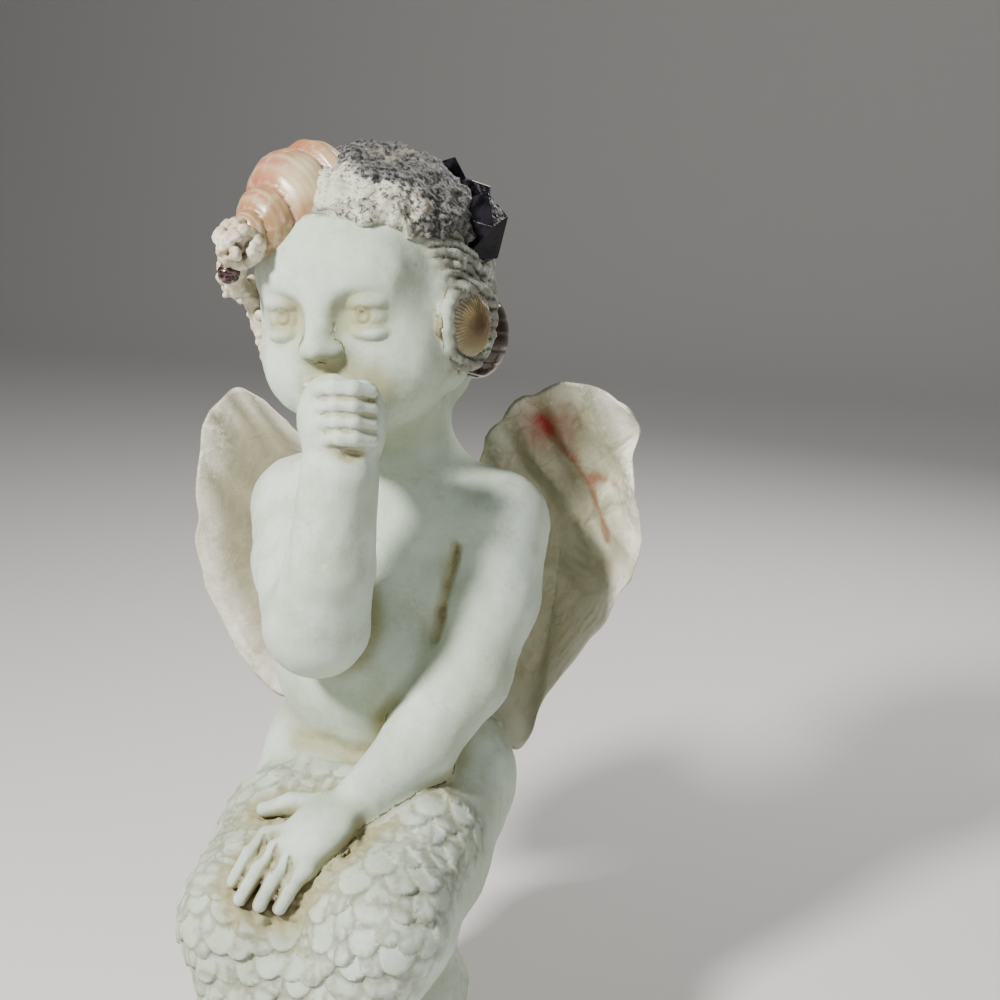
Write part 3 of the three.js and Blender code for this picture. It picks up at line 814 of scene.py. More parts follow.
def makeWing(name, shape, node, material):
    mesh, ball = sphereMesh(wing["around"], wing["out"])
    row = np.arccos(np.clip(ball[:, 2], -1, 1)) / math.pi
    out = 1 - np.abs(2 * row - 1)
    share = (1 - np.arctan2(ball[:, 1], ball[:, 0]) / (2 * math.pi)) % 1
    rim = loopCurve(shape["rim"], share)
    middle = np.array(shape["middle"], float)
    flat = middle + (rim - middle) * out[:, None]
    front = row >= 0.5
    wave = wing["wave"] * out ** 3 * np.sin(share * 2 * math.pi * shape["waves"] + 1)
    half = 0.5 * wing["wall"] * np.sqrt(1 - out ** 5 * 0.85)
    depth = wing["plane"] + wing["cup"] * (1 - out ** 2) + wave + np.where(front, -half, half)
    points = np.stack([flat[:, 0], depth, flat[:, 1]], 1)
    seed = shape["seed"]
    # growth: leaves of shell that follow the rim, frilled outwards from the hinge
    fromHinge = np.linalg.norm(flat - np.array(shape["hinge"], float), axis=1)
    span = fromHinge / (8 + fromHinge.max())
    ring = out * wing["leaves"] + 0.9 * ripple(points, 30, seed) + 0.35 * ripple(points, 11, seed + 1)
    leaf = (ring % 1) ** 2
    spoke = np.sin(share * 2 * math.pi * wing["spokes"] + 1.2 * ripple(points, 24, seed + 2))
    points[:, 1] += np.where(front, 0.12, 1.5) * (leaf - 0.3) * softStep(0.15, 0.6, out)
    points[:, 1] += np.where(front, 0.10, 0.9) * spoke * out ** 2
    points[:, 1] += 0.7 * ripple(points, 38, seed + 3)
    points[:, 1] += np.where(front, 0.07, 0.3) * ripple(points, 8, seed + 4)
    # sharp folds near the hinge end
    across = (flat - np.array(shape["hinge"], float)) @ np.array((0.86, 0.5))
    fold = np.abs(((across + 2.5 * ripple(points, 34, seed + 5)) / wing["foldGap"]) % 1 - 0.5) * 2
    near = softStep(0.62, 0.25, span) * softStep(0.05, 0.4, out)
    points[:, 1] += shape["folds"] * near * (5.0 * fold - 2.5)
    frill = softStep(0.86, 1, out)
    points[:, 0] += frill * 0.8 * ripple(points, 17, seed + 6)
    points[:, 2] += frill * 0.8 * ripple(points, 17, seed + 7)
    rib = leaf * softStep(0.2, 0.7, out)
    marks = {}
    for label in ("vein", "crack"):
        marks[label] = np.zeros(len(flat))
        for line in shape[label]:
            far = np.abs(farFromLine(flat, line) + 0.7 * ripple(points, 8, seed + 8))
            marks[label] = np.maximum(marks[label], np.exp(-((far / wing[label]) ** 2)) * front)
    points[:, 1] += 0.5 * marks["crack"]
    # out and low also set the painted shade of the cup, lighter towards the rim and the bottom
    wash = {
        "rim": softStep(0.66, 0.95, out), "ring": rib, "front": front * 1.0, "out": out,
        "low": 0.9 * softStep(178, 150, points[:, 2]), "fold": near * (1 - fold),
        "vein": marks["vein"], "crack": marks["crack"],
    }
    shapeTo(mesh, points)
    finish(name, mesh, material, [node], wash=wash)


# Whelk: three turns round one axis

whelk = {
    "centre": (-20, -8, 316), "axis": (-0.28, -0.92, -0.27), "radius": 22, "front": 34, "back": 19,
    "around": 160, "rows": 150, "growth": 1.75, "threads": 7, "ribs": 9,
    "patches": {"cream": ((-8, -22, 325), (14, 17, 13)), "amber": ((-8, -31, 316), (6.5, 8, 8)),
                "gold": ((-19, -36, 310), (13, 9, 14)), "rose": ((-31, -20, 328), (12, 18, 16))},
}


def frameAlong(axis, centre):
    turn = Vector((0, 1, 0)).rotation_difference(Vector(axis).normalized())
    return Matrix.Translation(Vector(centre)) @ turn.to_matrix().to_4x4()


whelkFrame = frameAlong(whelk["axis"], whelk["centre"])


def inFrame(matrix, points):
    return points @ np.array(matrix.to_3x3()).T + np.array(matrix.translation)


def makeWhelk(material):
    mesh, ball = sphereMesh(whelk["around"], whelk["rows"])
    flat = np.maximum(np.hypot(ball[:, 0], ball[:, 1]), 1e-6)
    along = np.where(ball[:, 2] > 0, ball[:, 2] * whelk["front"], ball[:, 2] * whelk["back"])
    fromTip = whelk["front"] - along
    around = np.arctan2(ball[:, 1], ball[:, 0])
    turns = np.log(1 + fromTip / 3.2) / math.log(whelk["growth"]) + around / (2 * math.pi)
    whorl = np.abs(np.sin(math.pi * (turns % 1) ** 0.7)) ** 0.55
    spire = whelk["radius"] * np.clip(fromTip / whelk["front"], 0, 1) ** 0.72
    closing = np.where(along < 0, np.sqrt(np.maximum(0, 1 - (along / whelk["back"]) ** 2)), 1)
    radius = spire * closing * (0.75 + 0.25 * whorl)
    thread = np.sin(turns * 2 * math.pi * whelk["threads"])
    radius *= 1 + 0.006 * thread + 0.008 * np.sin(around * whelk["ribs"] + turns * 5)
    radius *= np.minimum(1, flat * 4)
    points = np.stack([ball[:, 0] / flat * radius, along, ball[:, 1] / flat * radius], 1)
    points = inFrame(whelkFrame, points)
    shapeTo(mesh, points)
    wash = {"sutureShade": 1 - whorl, "turns": turns % 1, "thread": 0.5 + 0.5 * thread}
    for label, (spot, size) in whelk["patches"].items():
        wash[label] = softStep(1.2, 0.5, np.linalg.norm((points - spot) / size, axis=1))
    finish("whelkShell", mesh, material, ["whelk_shell"], wash=wash)


# Crust on the crown: a cap of broken shell and barnacle that follows the scalp

crust = {
    "axis": (0.446, -0.045, 0.893), "wall": 5.5, "spread": 41, "around": 190, "rows": 150,
    "pebbles": 900, "smallest": 0.8, "largest": 2.3, "hollowFrom": 2.0,
}


def makeCrust(material):
    mesh, ball = sphereMesh(crust["around"], crust["rows"])
    swing = Vector((0, 1, 0)).rotation_difference(Vector(crust["axis"]).normalized())
    frameTurn = np.array(swing.to_matrix())
    row = np.arccos(np.clip(ball[:, 2], -1, 1)) / math.pi
    out = 1 - np.abs(2 * row - 1)
    around = np.arctan2(ball[:, 1], ball[:, 0])
    spread = crust["spread"] - 6 * np.cos(2 * around) - 4 * np.cos(around) + 2 * np.sin(5 * around)
    spread = spread + 1.6 * np.sin(around * 11 + 1) + 1.1 * np.sin(around * 23)
    tilt = np.radians(spread * out)
    aims = np.stack([np.cos(around) * np.sin(tilt), np.cos(tilt), np.sin(around) * np.sin(tilt)], 1)
    aims = aims @ frameTurn.T
    aims /= np.linalg.norm(aims, axis=1)[:, None]
    middle = onHead((0, 0, 0))
    reach = reachOf(softHead, middle, aims)
    top = row < 0.5
    places = middle + aims * reach[:, None]
    dice = np.random.default_rng(7)
    pebbles = np.zeros(len(places))
    white = np.zeros(len(places))
    picked = dice.choice(np.flatnonzero(top & (out < 0.97)), crust["pebbles"], replace=False)
    for index in picked:
        size = dice.uniform(crust["smallest"], crust["largest"])
        height = dice.uniform(0.4, 1.2) * size * 0.36
        gap = np.linalg.norm(places - places[index], axis=1) / size
        close = gap < 1
        bump = height * np.sqrt(np.clip(1 - gap[close] ** 2, 0, 1))
        if size > crust["hollowFrom"]:  # larger ones are barnacles with a hollow top
            bump -= height * 0.8 * np.clip(1 - (gap[close] / 0.42) ** 2, 0, 1)
        pebbles[close] = np.maximum(pebbles[close], bump)
        white[close] = np.maximum(white[close], dice.uniform(0, 1) * (1 - gap[close]))
    rough = 0.7 * ripple(places, 12, 60) + 0.4 * ripple(places, 4.2, 61) + 0.28 * ripple(places, 2.2, 62)
    rough -= 1.6 * np.exp(-(((places[:, 0] - 12) / 10) ** 2) - (((places[:, 1] + 6) / 11) ** 2))
    wall = crust["wall"] * np.sqrt(1 - 0.7 * out ** 4) - 1.0 + pebbles + rough
    points = middle + aims * (reach + np.where(top, wall, -1.5))[:, None]
    shapeTo(mesh, points)
    wash = {"pebble": pebbles / 1.8, "white": white,
            "frontEdge": softStep(-4, -28, places[:, 1]) * softStep(338, 324, places[:, 2])}
    finish("barnacleCrust", mesh, material, ["barnacle_crust"], wash=wash)


# Barnacles on the tip of the whelk, and a strand of them down the edge of the face

strand = {
    "path": [
        (-29, -36, 308), (-35, -29, 299.5), (-41, -19, 291),
        (-38, -12, 286), (-36, -11, 277), (-32, -14, 265),
    ],
    "radii": [5.6, 4.6, 4.4, 4, 3.4, 2.6], "lumps": 90, "tipLumps": 95, "tip": (-29.5, -36.5, 306.5),
}


def makeBarnacles(material):
    dice = np.random.default_rng(12)
    forms = chain(strand["path"], [r * 0.85 for r in strand["radii"]], 2)
    path = np.array(strand["path"], float)
    for _ in range(strand["lumps"]):
        place = dice.uniform(0.3, 4.95)
        low = int(place)
        centre = path[low] + (path[low + 1] - path[low]) * (place - low)
        size = dice.uniform(0.9, 2.3) * (1.1 - place * 0.07)
        centre = centre + dice.normal(size=3) * (3.4 - place * 0.3) * 0.6
        forms.append(lump(centre, (size, size, size), 0.5))
    for _ in range(strand["tipLumps"]):
        way = dice.normal(size=3)
        way /= np.linalg.norm(way)
        centre = np.array(strand["tip"]) + way * 6.4
        size = dice.uniform(1.1, 2.4)
        forms.append(lump(centre, (size, size, size), 0.6))
        if size > 2.0:
            forms.append(lump(centre + way * size, (size * 0.4,) * 3, 0.4, dig=True))
    mesh = joinedForms(forms, 0.42)
    points = settle(forms, coordinates(mesh), 3)
    moveTo(mesh, points)
    crumb = 0.16 * ripple(points, 1.9, 71) + 0.12 * ripple(points, 3.7, 72)
    # how enclosed each point is, for painted shade between the barnacles
    near = np.clip(1 - distance(forms, points + normalsOf(mesh) * 1.5) / 1.5, 0, 1)
    moveTo(mesh, points + normalsOf(mesh) * crumb[:, None])
    low = softStep(300, 270, points[:, 2])
    wash = {"wash": near, "low": low}
    finish("barnacleCluster", mesh, material, ["barnacle_cluster"], wash=wash)


# Black crystal, limpet, brown shell and bead

crystals = [
    ((33, 12, 308), (10.5, 13, 13), (20, 15, 10)),
    ((26, 20, 317), (9, 10, 9), (50, 30, 0)),
    ((17, 22, 322), (9, 9, 6), (10, 60, 20)),
]


def makeCrystal(material):
    stones = bmesh.new()
    dice = np.random.default_rng(3)
    for centre, radii, turn in crystals:
        place = Matrix.Translation(centre) @ Matrix(turnOf(*turn)).to_4x4() @ Matrix.Diagonal((*radii, 1))
        before = len(stones.verts)
        bmesh.ops.create_icosphere(stones, subdivisions=1, radius=0.98, matrix=place)
        stones.verts.ensure_lookup_table()
        for corner in list(stones.verts)[before:]:
            corner.co += Vector(dice.normal(size=3) * 0.7)
        way = Vector(dice.normal(size=3)).normalized()  # and a small shard on it
        spot = place @ (way * 0.78)
        size = dice.uniform(2.2, 4.2)
        shard = Matrix.Translation(spot) @ Matrix.Diagonal((size, size * 0.7, size * 1.3, 1))
        bmesh.ops.create_icosphere(stones, subdivisions=1, radius=1, matrix=shard)
    bmesh.ops.bevel(stones, geom=list(stones.edges), offset=0.16, offset_type="OFFSET", segments=1,
                    profile=0.5, affect="EDGES", material=-1)
    mesh = bpy.data.meshes.new("crystal")
    stones.to_mesh(mesh)
    stones.free()
    finish("blackCrystal", mesh, material, ["black_crystal"], smooth=False)


def makeLimpet(material):
    mesh, ball = sphereMesh(170, 80)
    around = np.arctan2(ball[:, 1], ball[:, 0])
    flat = np.hypot(ball[:, 0], ball[:, 1])
    rib = np.cos(around * limpet["ribs"])
    top = ball[:, 2] > 0
    wide = limpet["wide"] * flat * (1 + 0.03 * rib * flat + 0.03 * np.cos(around * 3 + 1))
    cone = limpet["high"] * np.abs(ball[:, 2]) ** 1.3 + 0.2 * rib * flat ** 1.5
    depth = np.where(top, cone, 2.5 * ball[:, 2])
    local = np.stack([np.cos(around) * wide, depth, np.sin(around) * wide], 1)
    frameTurn = Matrix(turnOf(*limpet["turn"])).to_4x4()
    points = inFrame(Matrix.Translation(limpet["centre"]) @ frameTurn, local)
    points += 0.12 * ripple(points, 3, 81)[:, None]
    shapeTo(mesh, points)
    wash = {"out": flat, "rib": 0.5 + 0.5 * rib}
    finish("limpetShell", mesh, material, ["limpet_shell"], wash=wash)


brownShell = {"centre": (29.5, 19, 273), "radii": (11, 12, 15.5)}


def makeBrownShell(material):
    mesh, ball = sphereMesh(120, 90)
    around = np.arctan2(ball[:, 1], ball[:, 0])
    coil = np.sin(around + ball[:, 2] * 9)
    size = 1 - 0.03 * (1 - np.abs(coil)) ** 3
    points = np.array(brownShell["centre"]) + ball * size[:, None] * np.array(brownShell["radii"]) * 0.99
    shapeTo(mesh, points)
    wash = {"coil": (1 - np.abs(coil)) ** 2}
    finish("brownShell", mesh, material, ["brown_shell"], wash=wash)


bead = {"centre": (-34, -35.5, 297), "radius": 3.6, "dent": 0.09}


def makeBead(material):
    mesh, ball = sphereMesh(64, 40)
    turn = np.arctan2(ball[:, 1], ball[:, 0]) / (2 * math.pi) + ball[:, 2] * 1.6
    dent = np.exp(-((((turn % 1) - 0.5) / 0.12) ** 2))
    shapeTo(mesh, np.array(bead["centre"]) + ball * bead["radius"] * (1 - bead["dent"] * dent)[:, None])
    finish("darkBead", mesh, material, ["dark_bead"], wash={"dent": dent})


# Materials, all procedural

work = {}  # the node tree that is being built


def added(kind, inputs, **settings):
    node = work["tree"].nodes.new("ShaderNode" + kind)
    for name, value in settings.items():
        setattr(node, name, value)
    for socket, value in inputs.items():
        put(node, socket, value)
    return node


def put(node, socket, value):
    target = node.inputs[socket] if isinstance(socket, (str, int)) else socket
    if isinstance(value, bpy.types.NodeSocket):
        work["tree"].links.new(value, target)
    else:
        target.default_value = value


def maths(kind, first, second=0.5, third=0.5):
    inputs = {0: first, 1: second}
    if kind == "MULTIPLY_ADD":
        inputs[2] = third
    return added("Math", inputs, operation=kind).outputs[0]


def times(first, second):
    return maths("MULTIPLY", first, second)


def blend(share, first, second):
    node = added("Mix", {"Factor": share}, data_type="RGBA")
    for name, value in (("A", first), ("B", second)):
        socket = next(s for s in node.inputs if s.name == name and s.type == "RGBA")
        put(node, socket, (*value, 1) if isinstance(value, tuple) else value)
    return next(s for s in node.outputs if s.type == "RGBA")


def span(value, low, high, first=0.0, second=1.0):
    inputs = {"Value": value, "From Min": low, "From Max": high, "To Min": first, "To Max": second}
    return added("MapRange", inputs, interpolation_type="SMOOTHSTEP").outputs[0]


def noise(vector, size, detail=4.0, rough=0.55, bend=0.0):
    inputs = {"Vector": vector, "Scale": 1 / (size * mm), "Detail": detail, "Roughness": rough}
    return added("TexNoise", {**inputs, "Distortion": bend}).outputs["Fac"]


def cellEdges(vector, size):
    inputs = {"Vector": vector, "Scale": 1 / (size * mm)}
    return added("TexVoronoi", inputs, feature="DISTANCE_TO_EDGE").outputs["Distance"]


def attribute(name):
    return added("Attribute", {}, attribute_name=name).outputs["Fac"]


def attributes(*names):
    return [attribute(name) for name in names]


def bump(height, depth, strength=0.5, under=None):
    inputs = {"Strength": strength, "Distance": depth * mm, "Height": height}
    if under:
        inputs["Normal"] = under
    return added("Bump", inputs).outputs[0]


def ramp(value, stops):
    node = added("ValToRGB", {"Fac": value})
    points = node.color_ramp.elements
    while len(points) < len(stops):
        points.new(0.5)
    for point, (place, colour) in zip(points, stops):
        point.position = place
        point.color = (*colour, 1)
    return node.outputs[0]


def newMaterial(name):
    material = bpy.data.materials.new(name)
    material.use_nodes = True
    work["tree"] = material.node_tree
    return material, added("TexCoord", {}).outputs["Object"]


def painted(material, settings):
    shader = work["tree"].nodes["Principled BSDF"]
    for name, value in settings.items():
        put(shader, name, value)
    return material


def speckles():
    # grime that collects in patches: large soft patches broken by small grain
    group = bpy.data.node_groups.new("grime", "ShaderNodeTree")
    work["tree"] = group
    group.interface.new_socket("Place", in_out="INPUT", socket_type="NodeSocketVector")
    size = group.interface.new_socket("Size", in_out="INPUT", socket_type="NodeSocketFloat")
    size.default_value = 1.0
    group.interface.new_socket("Amount", in_out="OUTPUT", socket_type="NodeSocketFloat")
    given = group.nodes.new("NodeGroupInput")
    made = group.nodes.new("NodeGroupOutput")
    inputs = {0: given.outputs["Place"], "Scale": given.outputs["Size"]}
    scaled = added("VectorMath", inputs, operation="SCALE").outputs[0]
    patch = noise(scaled, 16, 5, 0.6, 0.4)
    grain = noise(scaled, 1.6, 3, 0.7)
    put(made, "Amount", maths("MULTIPLY_ADD", grain, 0.35, times(patch, 0.75)))
    return group


grimeGroup = speckles()


def grime(place, size=1.0):
    return added("Group", {"Place": place, "Size": size}, node_tree=grimeGroup).outputs["Amount"]


clayColours = {
    "body": (0.50, 0.575, 0.46),
    "pale": (0.63, 0.715, 0.635),
    "green": (0.31, 0.335, 0.19),
    "scaleGapShade": (0.20, 0.19, 0.12),
    "ochre": (0.345, 0.315, 0.165),
    "deepShade": (0.15, 0.12, 0.075),
    "grey": (0.25, 0.24, 0.20),
    "sootAndShade": (0.035, 0.032, 0.028),
}


def clayMaterial():
    material, place = newMaterial("agedClay")
    tone = clayColours
    dirt = grime(place)
    fine = grime(place, 3.2)
    cloud = noise(place, 38, 3)
    colour = blend(span(cloud, 0.38, 0.66), tone["body"], tone["pale"])
    colour = blend(span(fine, 0.5, 0.75, 0, 0.16), colour, tone["green"])
    colour = blend(span(dirt, 0.52, 0.7, 0, 0.3), colour, tone["green"])
    wash, hair, gap, clay = attributes("wash", "hair", "gap", "clay")
    # painted shade: greener and darker where the wash layer is high, with the clay's olive wash
    colour = blend(span(wash, 0.06, 0.5, 0, 0.65), colour, tone["green"])
    # painted shade in the gaps between the scales, varied by grime
    gaps = times(gap, span(dirt, 0.34, 0.6, 0.35, 0.95))
    colour = blend(gaps, colour, tone["scaleGapShade"])
    # thin ochre in the hollows of the scales and folds: partly the clay's ochre wash, partly painted shade,
    # darkest in the deepest
    hollow = times(wash, span(dirt, 0.3, 0.62, 0.35, 1.0))
    colour = blend(span(hollow, 0.12, 0.75, 0, 0.8), colour, tone["ochre"])
    colour = blend(span(hollow, 0.55, 1.1, 0, 0.85), colour, tone["deepShade"])
    # pitted clay round the hand
    rough = times(clay, span(dirt, 0.42, 0.6, 0.25, 1.0))
    colour = blend(times(rough, 0.75), colour, tone["ochre"])
    # sooty wash over the hair, and painted shade, near black, in the grooves between the locks
    sootAndShade = times(hair, span(fine, 0.40, 0.62, 0.1, 1.0))
    colour = blend(span(sootAndShade, 0.15, 0.8, 0, 0.9), colour, tone["grey"])
    grooveShade = times(times(hair, wash), 1.6)
    colour = blend(span(grooveShade, 0.2, 0.9, 0, 0.95), colour, tone["sootAndShade"])
    pits = noise(place, 0.9, 3, 0.6)
    large = noise(place, 5.5, 4, 0.55)
    soft = bump(large, 0.5, 0.35)
    return painted(material, {
        "Base Color": colour,
        "Roughness": span(fine, 0.3, 0.7, 0.62, 0.86),
        "Specular IOR Level": 0.35,
        "Normal": bump(pits, 0.16, 0.4, soft),
    })


oysterColours = {
    "left": {"inside": (0.53, 0.515, 0.375), "deep": (0.27, 0.275, 0.17), "rim": (0.82, 0.80, 0.69),
             "line": (0.40, 0.34, 0.21), "stain": (0.26, 0.10, 0.045), "red": (0.34, 0.02, 0.015)},
    "right": {"inside": (0.29, 0.28, 0.175), "deep": (0.22, 0.21, 0.13), "rim": (0.84, 0.81, 0.71),
              "line": (0.38, 0.32, 0.20), "stain": (0.38, 0.31, 0.20), "red": (0.32, 0.24, 0.14)},
}


def oysterMaterial(name, tone, spot, size):
    # spot: where the rust stain sits, in millimetres
    material, place = newMaterial(name)
    dirt = grime(place, 0.8)
    fine = grime(place, 2.6)
    cloud = noise(place, 26, 4, 0.6, 0.8)
    ring, out, fold = attributes("ring", "out", "fold")
    rim, front = attributes("rim", "front")
    # painted shade: the deep middle of the cup darker, lighter towards the rim and the lower part
    colour = blend(span(cloud, 0.32, 0.66), tone["deep"], tone["inside"])
    inside = maths("MAXIMUM", span(out, 0.35, 0.9, 0, 0.8), attribute("low"))
    colour = blend(inside, colour, tone["inside"])
    colour = blend(span(fine, 0.52, 0.7, 0, 0.6), colour, tone["line"])
    edge = times(rim, span(dirt, 0.34, 0.6, 1.0, 0.6))
    colour = blend(edge, colour, tone["rim"])
    lines = times(ring, span(cloud, 0.35, 0.6, 0.15, 0.75))
    colour = blend(lines, colour, tone["line"])
    # painted shade in the valleys of the folds, varied by grime
    colour = blend(times(fold, span(dirt, 0.4, 0.6)), colour, tone["deep"])
    # rust stain: a soft ball of colour, broken by noise, with veins running out of it
    inputs = {0: place, 1: tuple(value * mm for value in spot)}
    far = added("VectorMath", inputs, operation="DISTANCE").outputs["Value"]
    reach = maths("DIVIDE", far, size * mm)
    ragged = maths("MULTIPLY_ADD", noise(place, 4, 5, 0.7), 0.9, reach)
    stain = times(span(ragged, 0.75, 1.5, 0.75, 0), front)
    vein = cellEdges(place, 17)
    veins = times(span(vein, 0.0, 0.03, 1, 0), span(reach, 0.5, 2.6, 0.5, 0))
    colour = blend(times(veins, 0.6), colour, tone["stain"])
    colour = blend(times(attribute("vein"), 0.85), colour, tone["stain"])
    colour = blend(times(attribute("crack"), 0.8), colour, tone["deep"])
    colour = blend(stain, colour, tone["stain"])
    red = times(span(ragged, 0.55, 0.95, 0.95, 0), front)
    colour = blend(red, colour, tone["red"])
    scar = bump(noise(place, 7, 6, 0.62, 0.6), 1.2, 0.6)
    return painted(material, {
        "Base Color": colour,
        "Roughness": span(fine, 0.35, 0.65, 0.34, 0.62),
        "Coat Weight": times(front, 0.12),
        "Coat Roughness": 0.35,
        "Normal": bump(noise(place, 1.3, 3, 0.6), 0.2, 0.4, scar),
    })


whelkStops = [
    (0.0, (0.39, 0.13, 0.085)), (0.16, (0.42, 0.25, 0.10)), (0.3, (0.53, 0.43, 0.25)),
    (0.44, (0.43, 0.18, 0.115)), (0.56, (0.57, 0.47, 0.29)), (0.7, (0.35, 0.21, 0.07)),
    (0.84, (0.48, 0.29, 0.18)), (1.0, (0.34, 0.13, 0.075)),
]


whelkColours = {
    "cream": (0.60, 0.50, 0.31),
    "gold": (0.27, 0.17, 0.07),
    "rose": (0.42, 0.15, 0.10),
    "pale": (0.62, 0.52, 0.35),
    "thread": (0.42, 0.16, 0.07),
    "amber": (0.30, 0.09, 0.025),
    "sutureShade": (0.24, 0.13, 0.07),
}


def whelkMaterial():
    material, place = newMaterial("whelk")
    tone = whelkColours
    sutureShade, turns, thread = attributes("sutureShade", "turns", "thread")
    cloud = noise(place, 13, 4, 0.55, 0.6)
    band = maths("MULTIPLY_ADD", cloud, 0.3, maths("SUBTRACT", turns, 0.15))
    colour = ramp(band, whelkStops)
    # a cream patch over the middle of the body whorl, rosy above it
    cream = times(attribute("cream"), span(cloud, 0.3, 0.6, 0.55, 1.0))
    colour = blend(cream, colour, tone["cream"])
    gold = times(attribute("gold"), span(cloud, 0.34, 0.6, 0.25, 0.8))
    colour = blend(gold, colour, tone["gold"])
    colour = blend(times(attribute("rose"), 0.45), colour, tone["rose"])
    colour = blend(span(noise(place, 4, 4), 0.52, 0.66, 0, 0.5), colour, tone["pale"])
    colour = blend(times(thread, 0.2), colour, tone["thread"])
    amber = times(attribute("amber"), span(cloud, 0.36, 0.56, 0.4, 1.0))
    colour = blend(amber, colour, tone["amber"])
    # painted shade along the suture between the whorls
    colour = blend(span(sutureShade, 0.6, 1.0, 0, 0.8), colour, tone["sutureShade"])
    return painted(material, {
        "Base Color": colour,
        "Roughness": span(cloud, 0.35, 0.65, 0.24, 0.42),
        "Coat Weight": 0.12,
        "Coat Roughness": 0.25,
        "Normal": bump(noise(place, 1.5, 3), 0.12, 0.35),
    })


crustColours = {
    "black": (0.010, 0.010, 0.014),
    "grey": (0.16, 0.155, 0.14),
    "stone": (0.27, 0.26, 0.22),
    "cream": (0.58, 0.57, 0.45),
    "tan": (0.42, 0.32, 0.2),
}


def crustMaterial():
    material, place = newMaterial("crust")
    tone = crustColours
    white, pebble, edge = attributes("white", "pebble", "frontEdge")
    grain = noise(place, 1.5, 4, 0.7)
    coarse = noise(place, 7, 4, 0.6)
    patch = noise(place, 15, 3, 0.5, 0.5)
    colour = blend(span(grain, 0.42, 0.6), tone["black"], tone["grey"])
    colour = blend(span(coarse, 0.5, 0.66, 0, 0.5), colour, tone["stone"])
    light = maths("ADD", edge, span(patch, 0.42, 0.62, -0.5, 0.12))
    pale = maths("MULTIPLY_ADD", white, 0.2, times(light, 0.85))
    pale = times(pale, span(grain, 0.36, 0.56, 0.5, 1.15))
    colour = blend(span(pale, 0.2, 0.75), colour, tone["cream"])
    tan = times(span(coarse, 0.56, 0.7), 0.3)
    colour = blend(tan, colour, tone["tan"])
    return painted(material, {
        "Base Color": colour,
        "Roughness": span(grain, 0.4, 0.6, 0.5, 0.85),
        "Normal": bump(maths("ADD", grain, pebble), 0.5, 0.7),
    })


barnacleColours = {
    "sand": (0.52, 0.44, 0.30),
    "cream": (0.77, 0.71, 0.58),
    "clay": (0.50, 0.44, 0.37),
    "grain": (0.35, 0.27, 0.18),
    "hollow": (0.23, 0.16, 0.09),
}


def barnacleMaterial():
    material, place = newMaterial("barnacle")
    tone = barnacleColours
    wash, low = attributes("wash", "low")
    grain = noise(place, 1.4, 4, 0.7)
    cloud = noise(place, 5, 3)
    colour = blend(span(cloud, 0.38, 0.62), tone["sand"], tone["cream"])
    colour = blend(times(low, 0.5), colour, tone["clay"])
    colour = blend(span(grain, 0.52, 0.66, 0, 0.5), colour, tone["grain"])
    # painted shade between the barnacles
    colour = blend(span(wash, 0.3, 0.95, 0, 0.8), colour, tone["hollow"])
    return painted(material, {
        "Base Color": colour,
        "Roughness": span(low, 0.0, 1.0, 0.75, 0.5),
        "Normal": bump(grain, 0.4, 0.6),
    })


crystalColours = {
    "black": (0.003, 0.003, 0.004),
    "smoke": (0.014, 0.012, 0.016),
}


def crystalMaterial():
    material, place = newMaterial("blackCrystal")
    tone = crystalColours
    cloud = noise(place, 6, 3)
    colour = blend(span(cloud, 0.45, 0.62), tone["black"], tone["smoke"])
    return painted(material, {
        "Base Color": colour,
        "Roughness": span(noise(place, 2, 4), 0.4, 0.6, 0.09, 0.24),
        "Specular IOR Level": 0.16,
        "Normal": bump(noise(place, 3.2, 2), 0.35, 0.4),
    })


limpetStops = [
    (0.0, (0.06, 0.035, 0.014)), (0.3, (0.13, 0.085, 0.03)), (0.6, (0.21, 0.175, 0.07)),
    (0.78, (0.36, 0.33, 0.19)), (0.93, (0.60, 0.58, 0.45)),
]


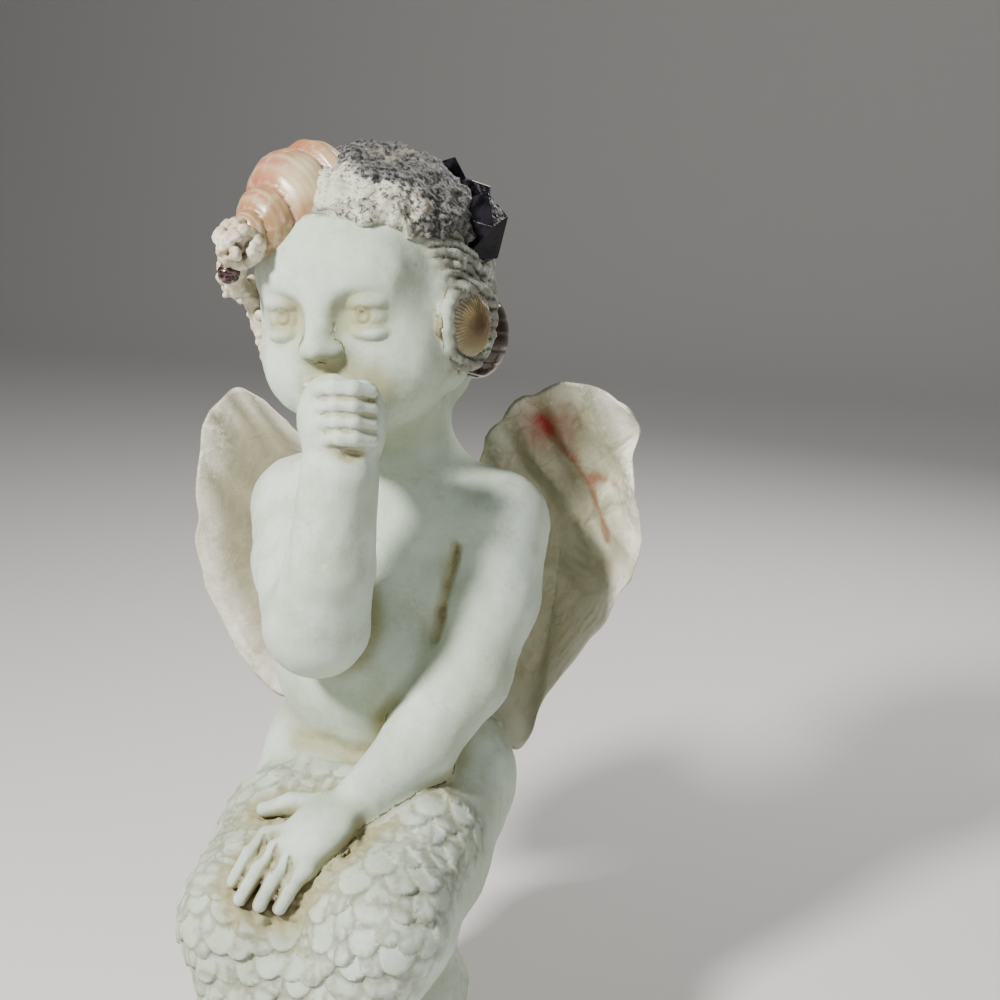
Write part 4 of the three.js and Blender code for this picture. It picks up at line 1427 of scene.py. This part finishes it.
def limpetMaterial():
    material, place = newMaterial("limpet")
    out, rib = attributes("out", "rib")
    cloud = noise(place, 3, 4, 0.65)
    away = maths("MULTIPLY_ADD", cloud, 0.3, maths("SUBTRACT", out, 0.15))
    colour = ramp(away, limpetStops)
    dark = times(span(rib, 0.7, 0.2), span(out, 0.1, 0.5, 0.2, 0.6))
    colour = blend(dark, colour, (0.24, 0.14, 0.07))
    return painted(material, {
        "Base Color": colour,
        "Roughness": 0.45,
        "Normal": bump(noise(place, 0.9, 3), 0.15, 0.5),
    })


brownColours = {
    "dark": (0.010, 0.005, 0.004),
    "brown": (0.035, 0.015, 0.010),
    "coil": (0.16, 0.08, 0.04),
}


def brownMaterial():
    material, place = newMaterial("brownGloss")
    tone = brownColours
    coil = attribute("coil")
    cloud = noise(place, 5, 4, 0.6, 0.8)
    colour = blend(span(cloud, 0.38, 0.64), tone["dark"], tone["brown"])
    colour = blend(times(coil, 0.25), colour, tone["coil"])
    return painted(material, {
        "Base Color": colour,
        "Roughness": 0.2,
        "Coat Weight": 0.5,
        "Coat Roughness": 0.08,
        "Normal": bump(cloud, 0.3, 0.3),
    })


beadColours = {
    "dark": (0.05, 0.018, 0.022),
    "light": (0.22, 0.15, 0.14),
    "dent": (0.01, 0.008, 0.008),
}


def beadMaterial():
    material, place = newMaterial("darkBead")
    tone = beadColours
    cloud = noise(place, 2.4, 3, 0.6, 1.2)
    colour = blend(span(cloud, 0.4, 0.6), tone["dark"], tone["light"])
    # painted shade in the spiral dent
    colour = blend(times(attribute("dent"), 0.7), colour, tone["dent"])
    return painted(material, {
        "Base Color": colour,
        "Metallic": 0.6,
        "Roughness": 0.22,
    })


leftOyster = oysterMaterial("oysterLeft", oysterColours["left"], (50.5, 36, 240.5), 15)
rightOyster = oysterMaterial("oysterRight", oysterColours["right"], (-70, 34, 150), 6)
print("materials done")

makeFigure(clayMaterial())
makeWing("leftWing", leftWing, "left_wing_shell", leftOyster)
makeWing("rightWing", rightWing, "right_wing_shell", rightOyster)
makeWhelk(whelkMaterial())
makeCrust(crustMaterial())
makeBarnacles(barnacleMaterial())
makeCrystal(crystalMaterial())
makeLimpet(limpetMaterial())
makeBrownShell(brownMaterial())
makeBead(beadMaterial())
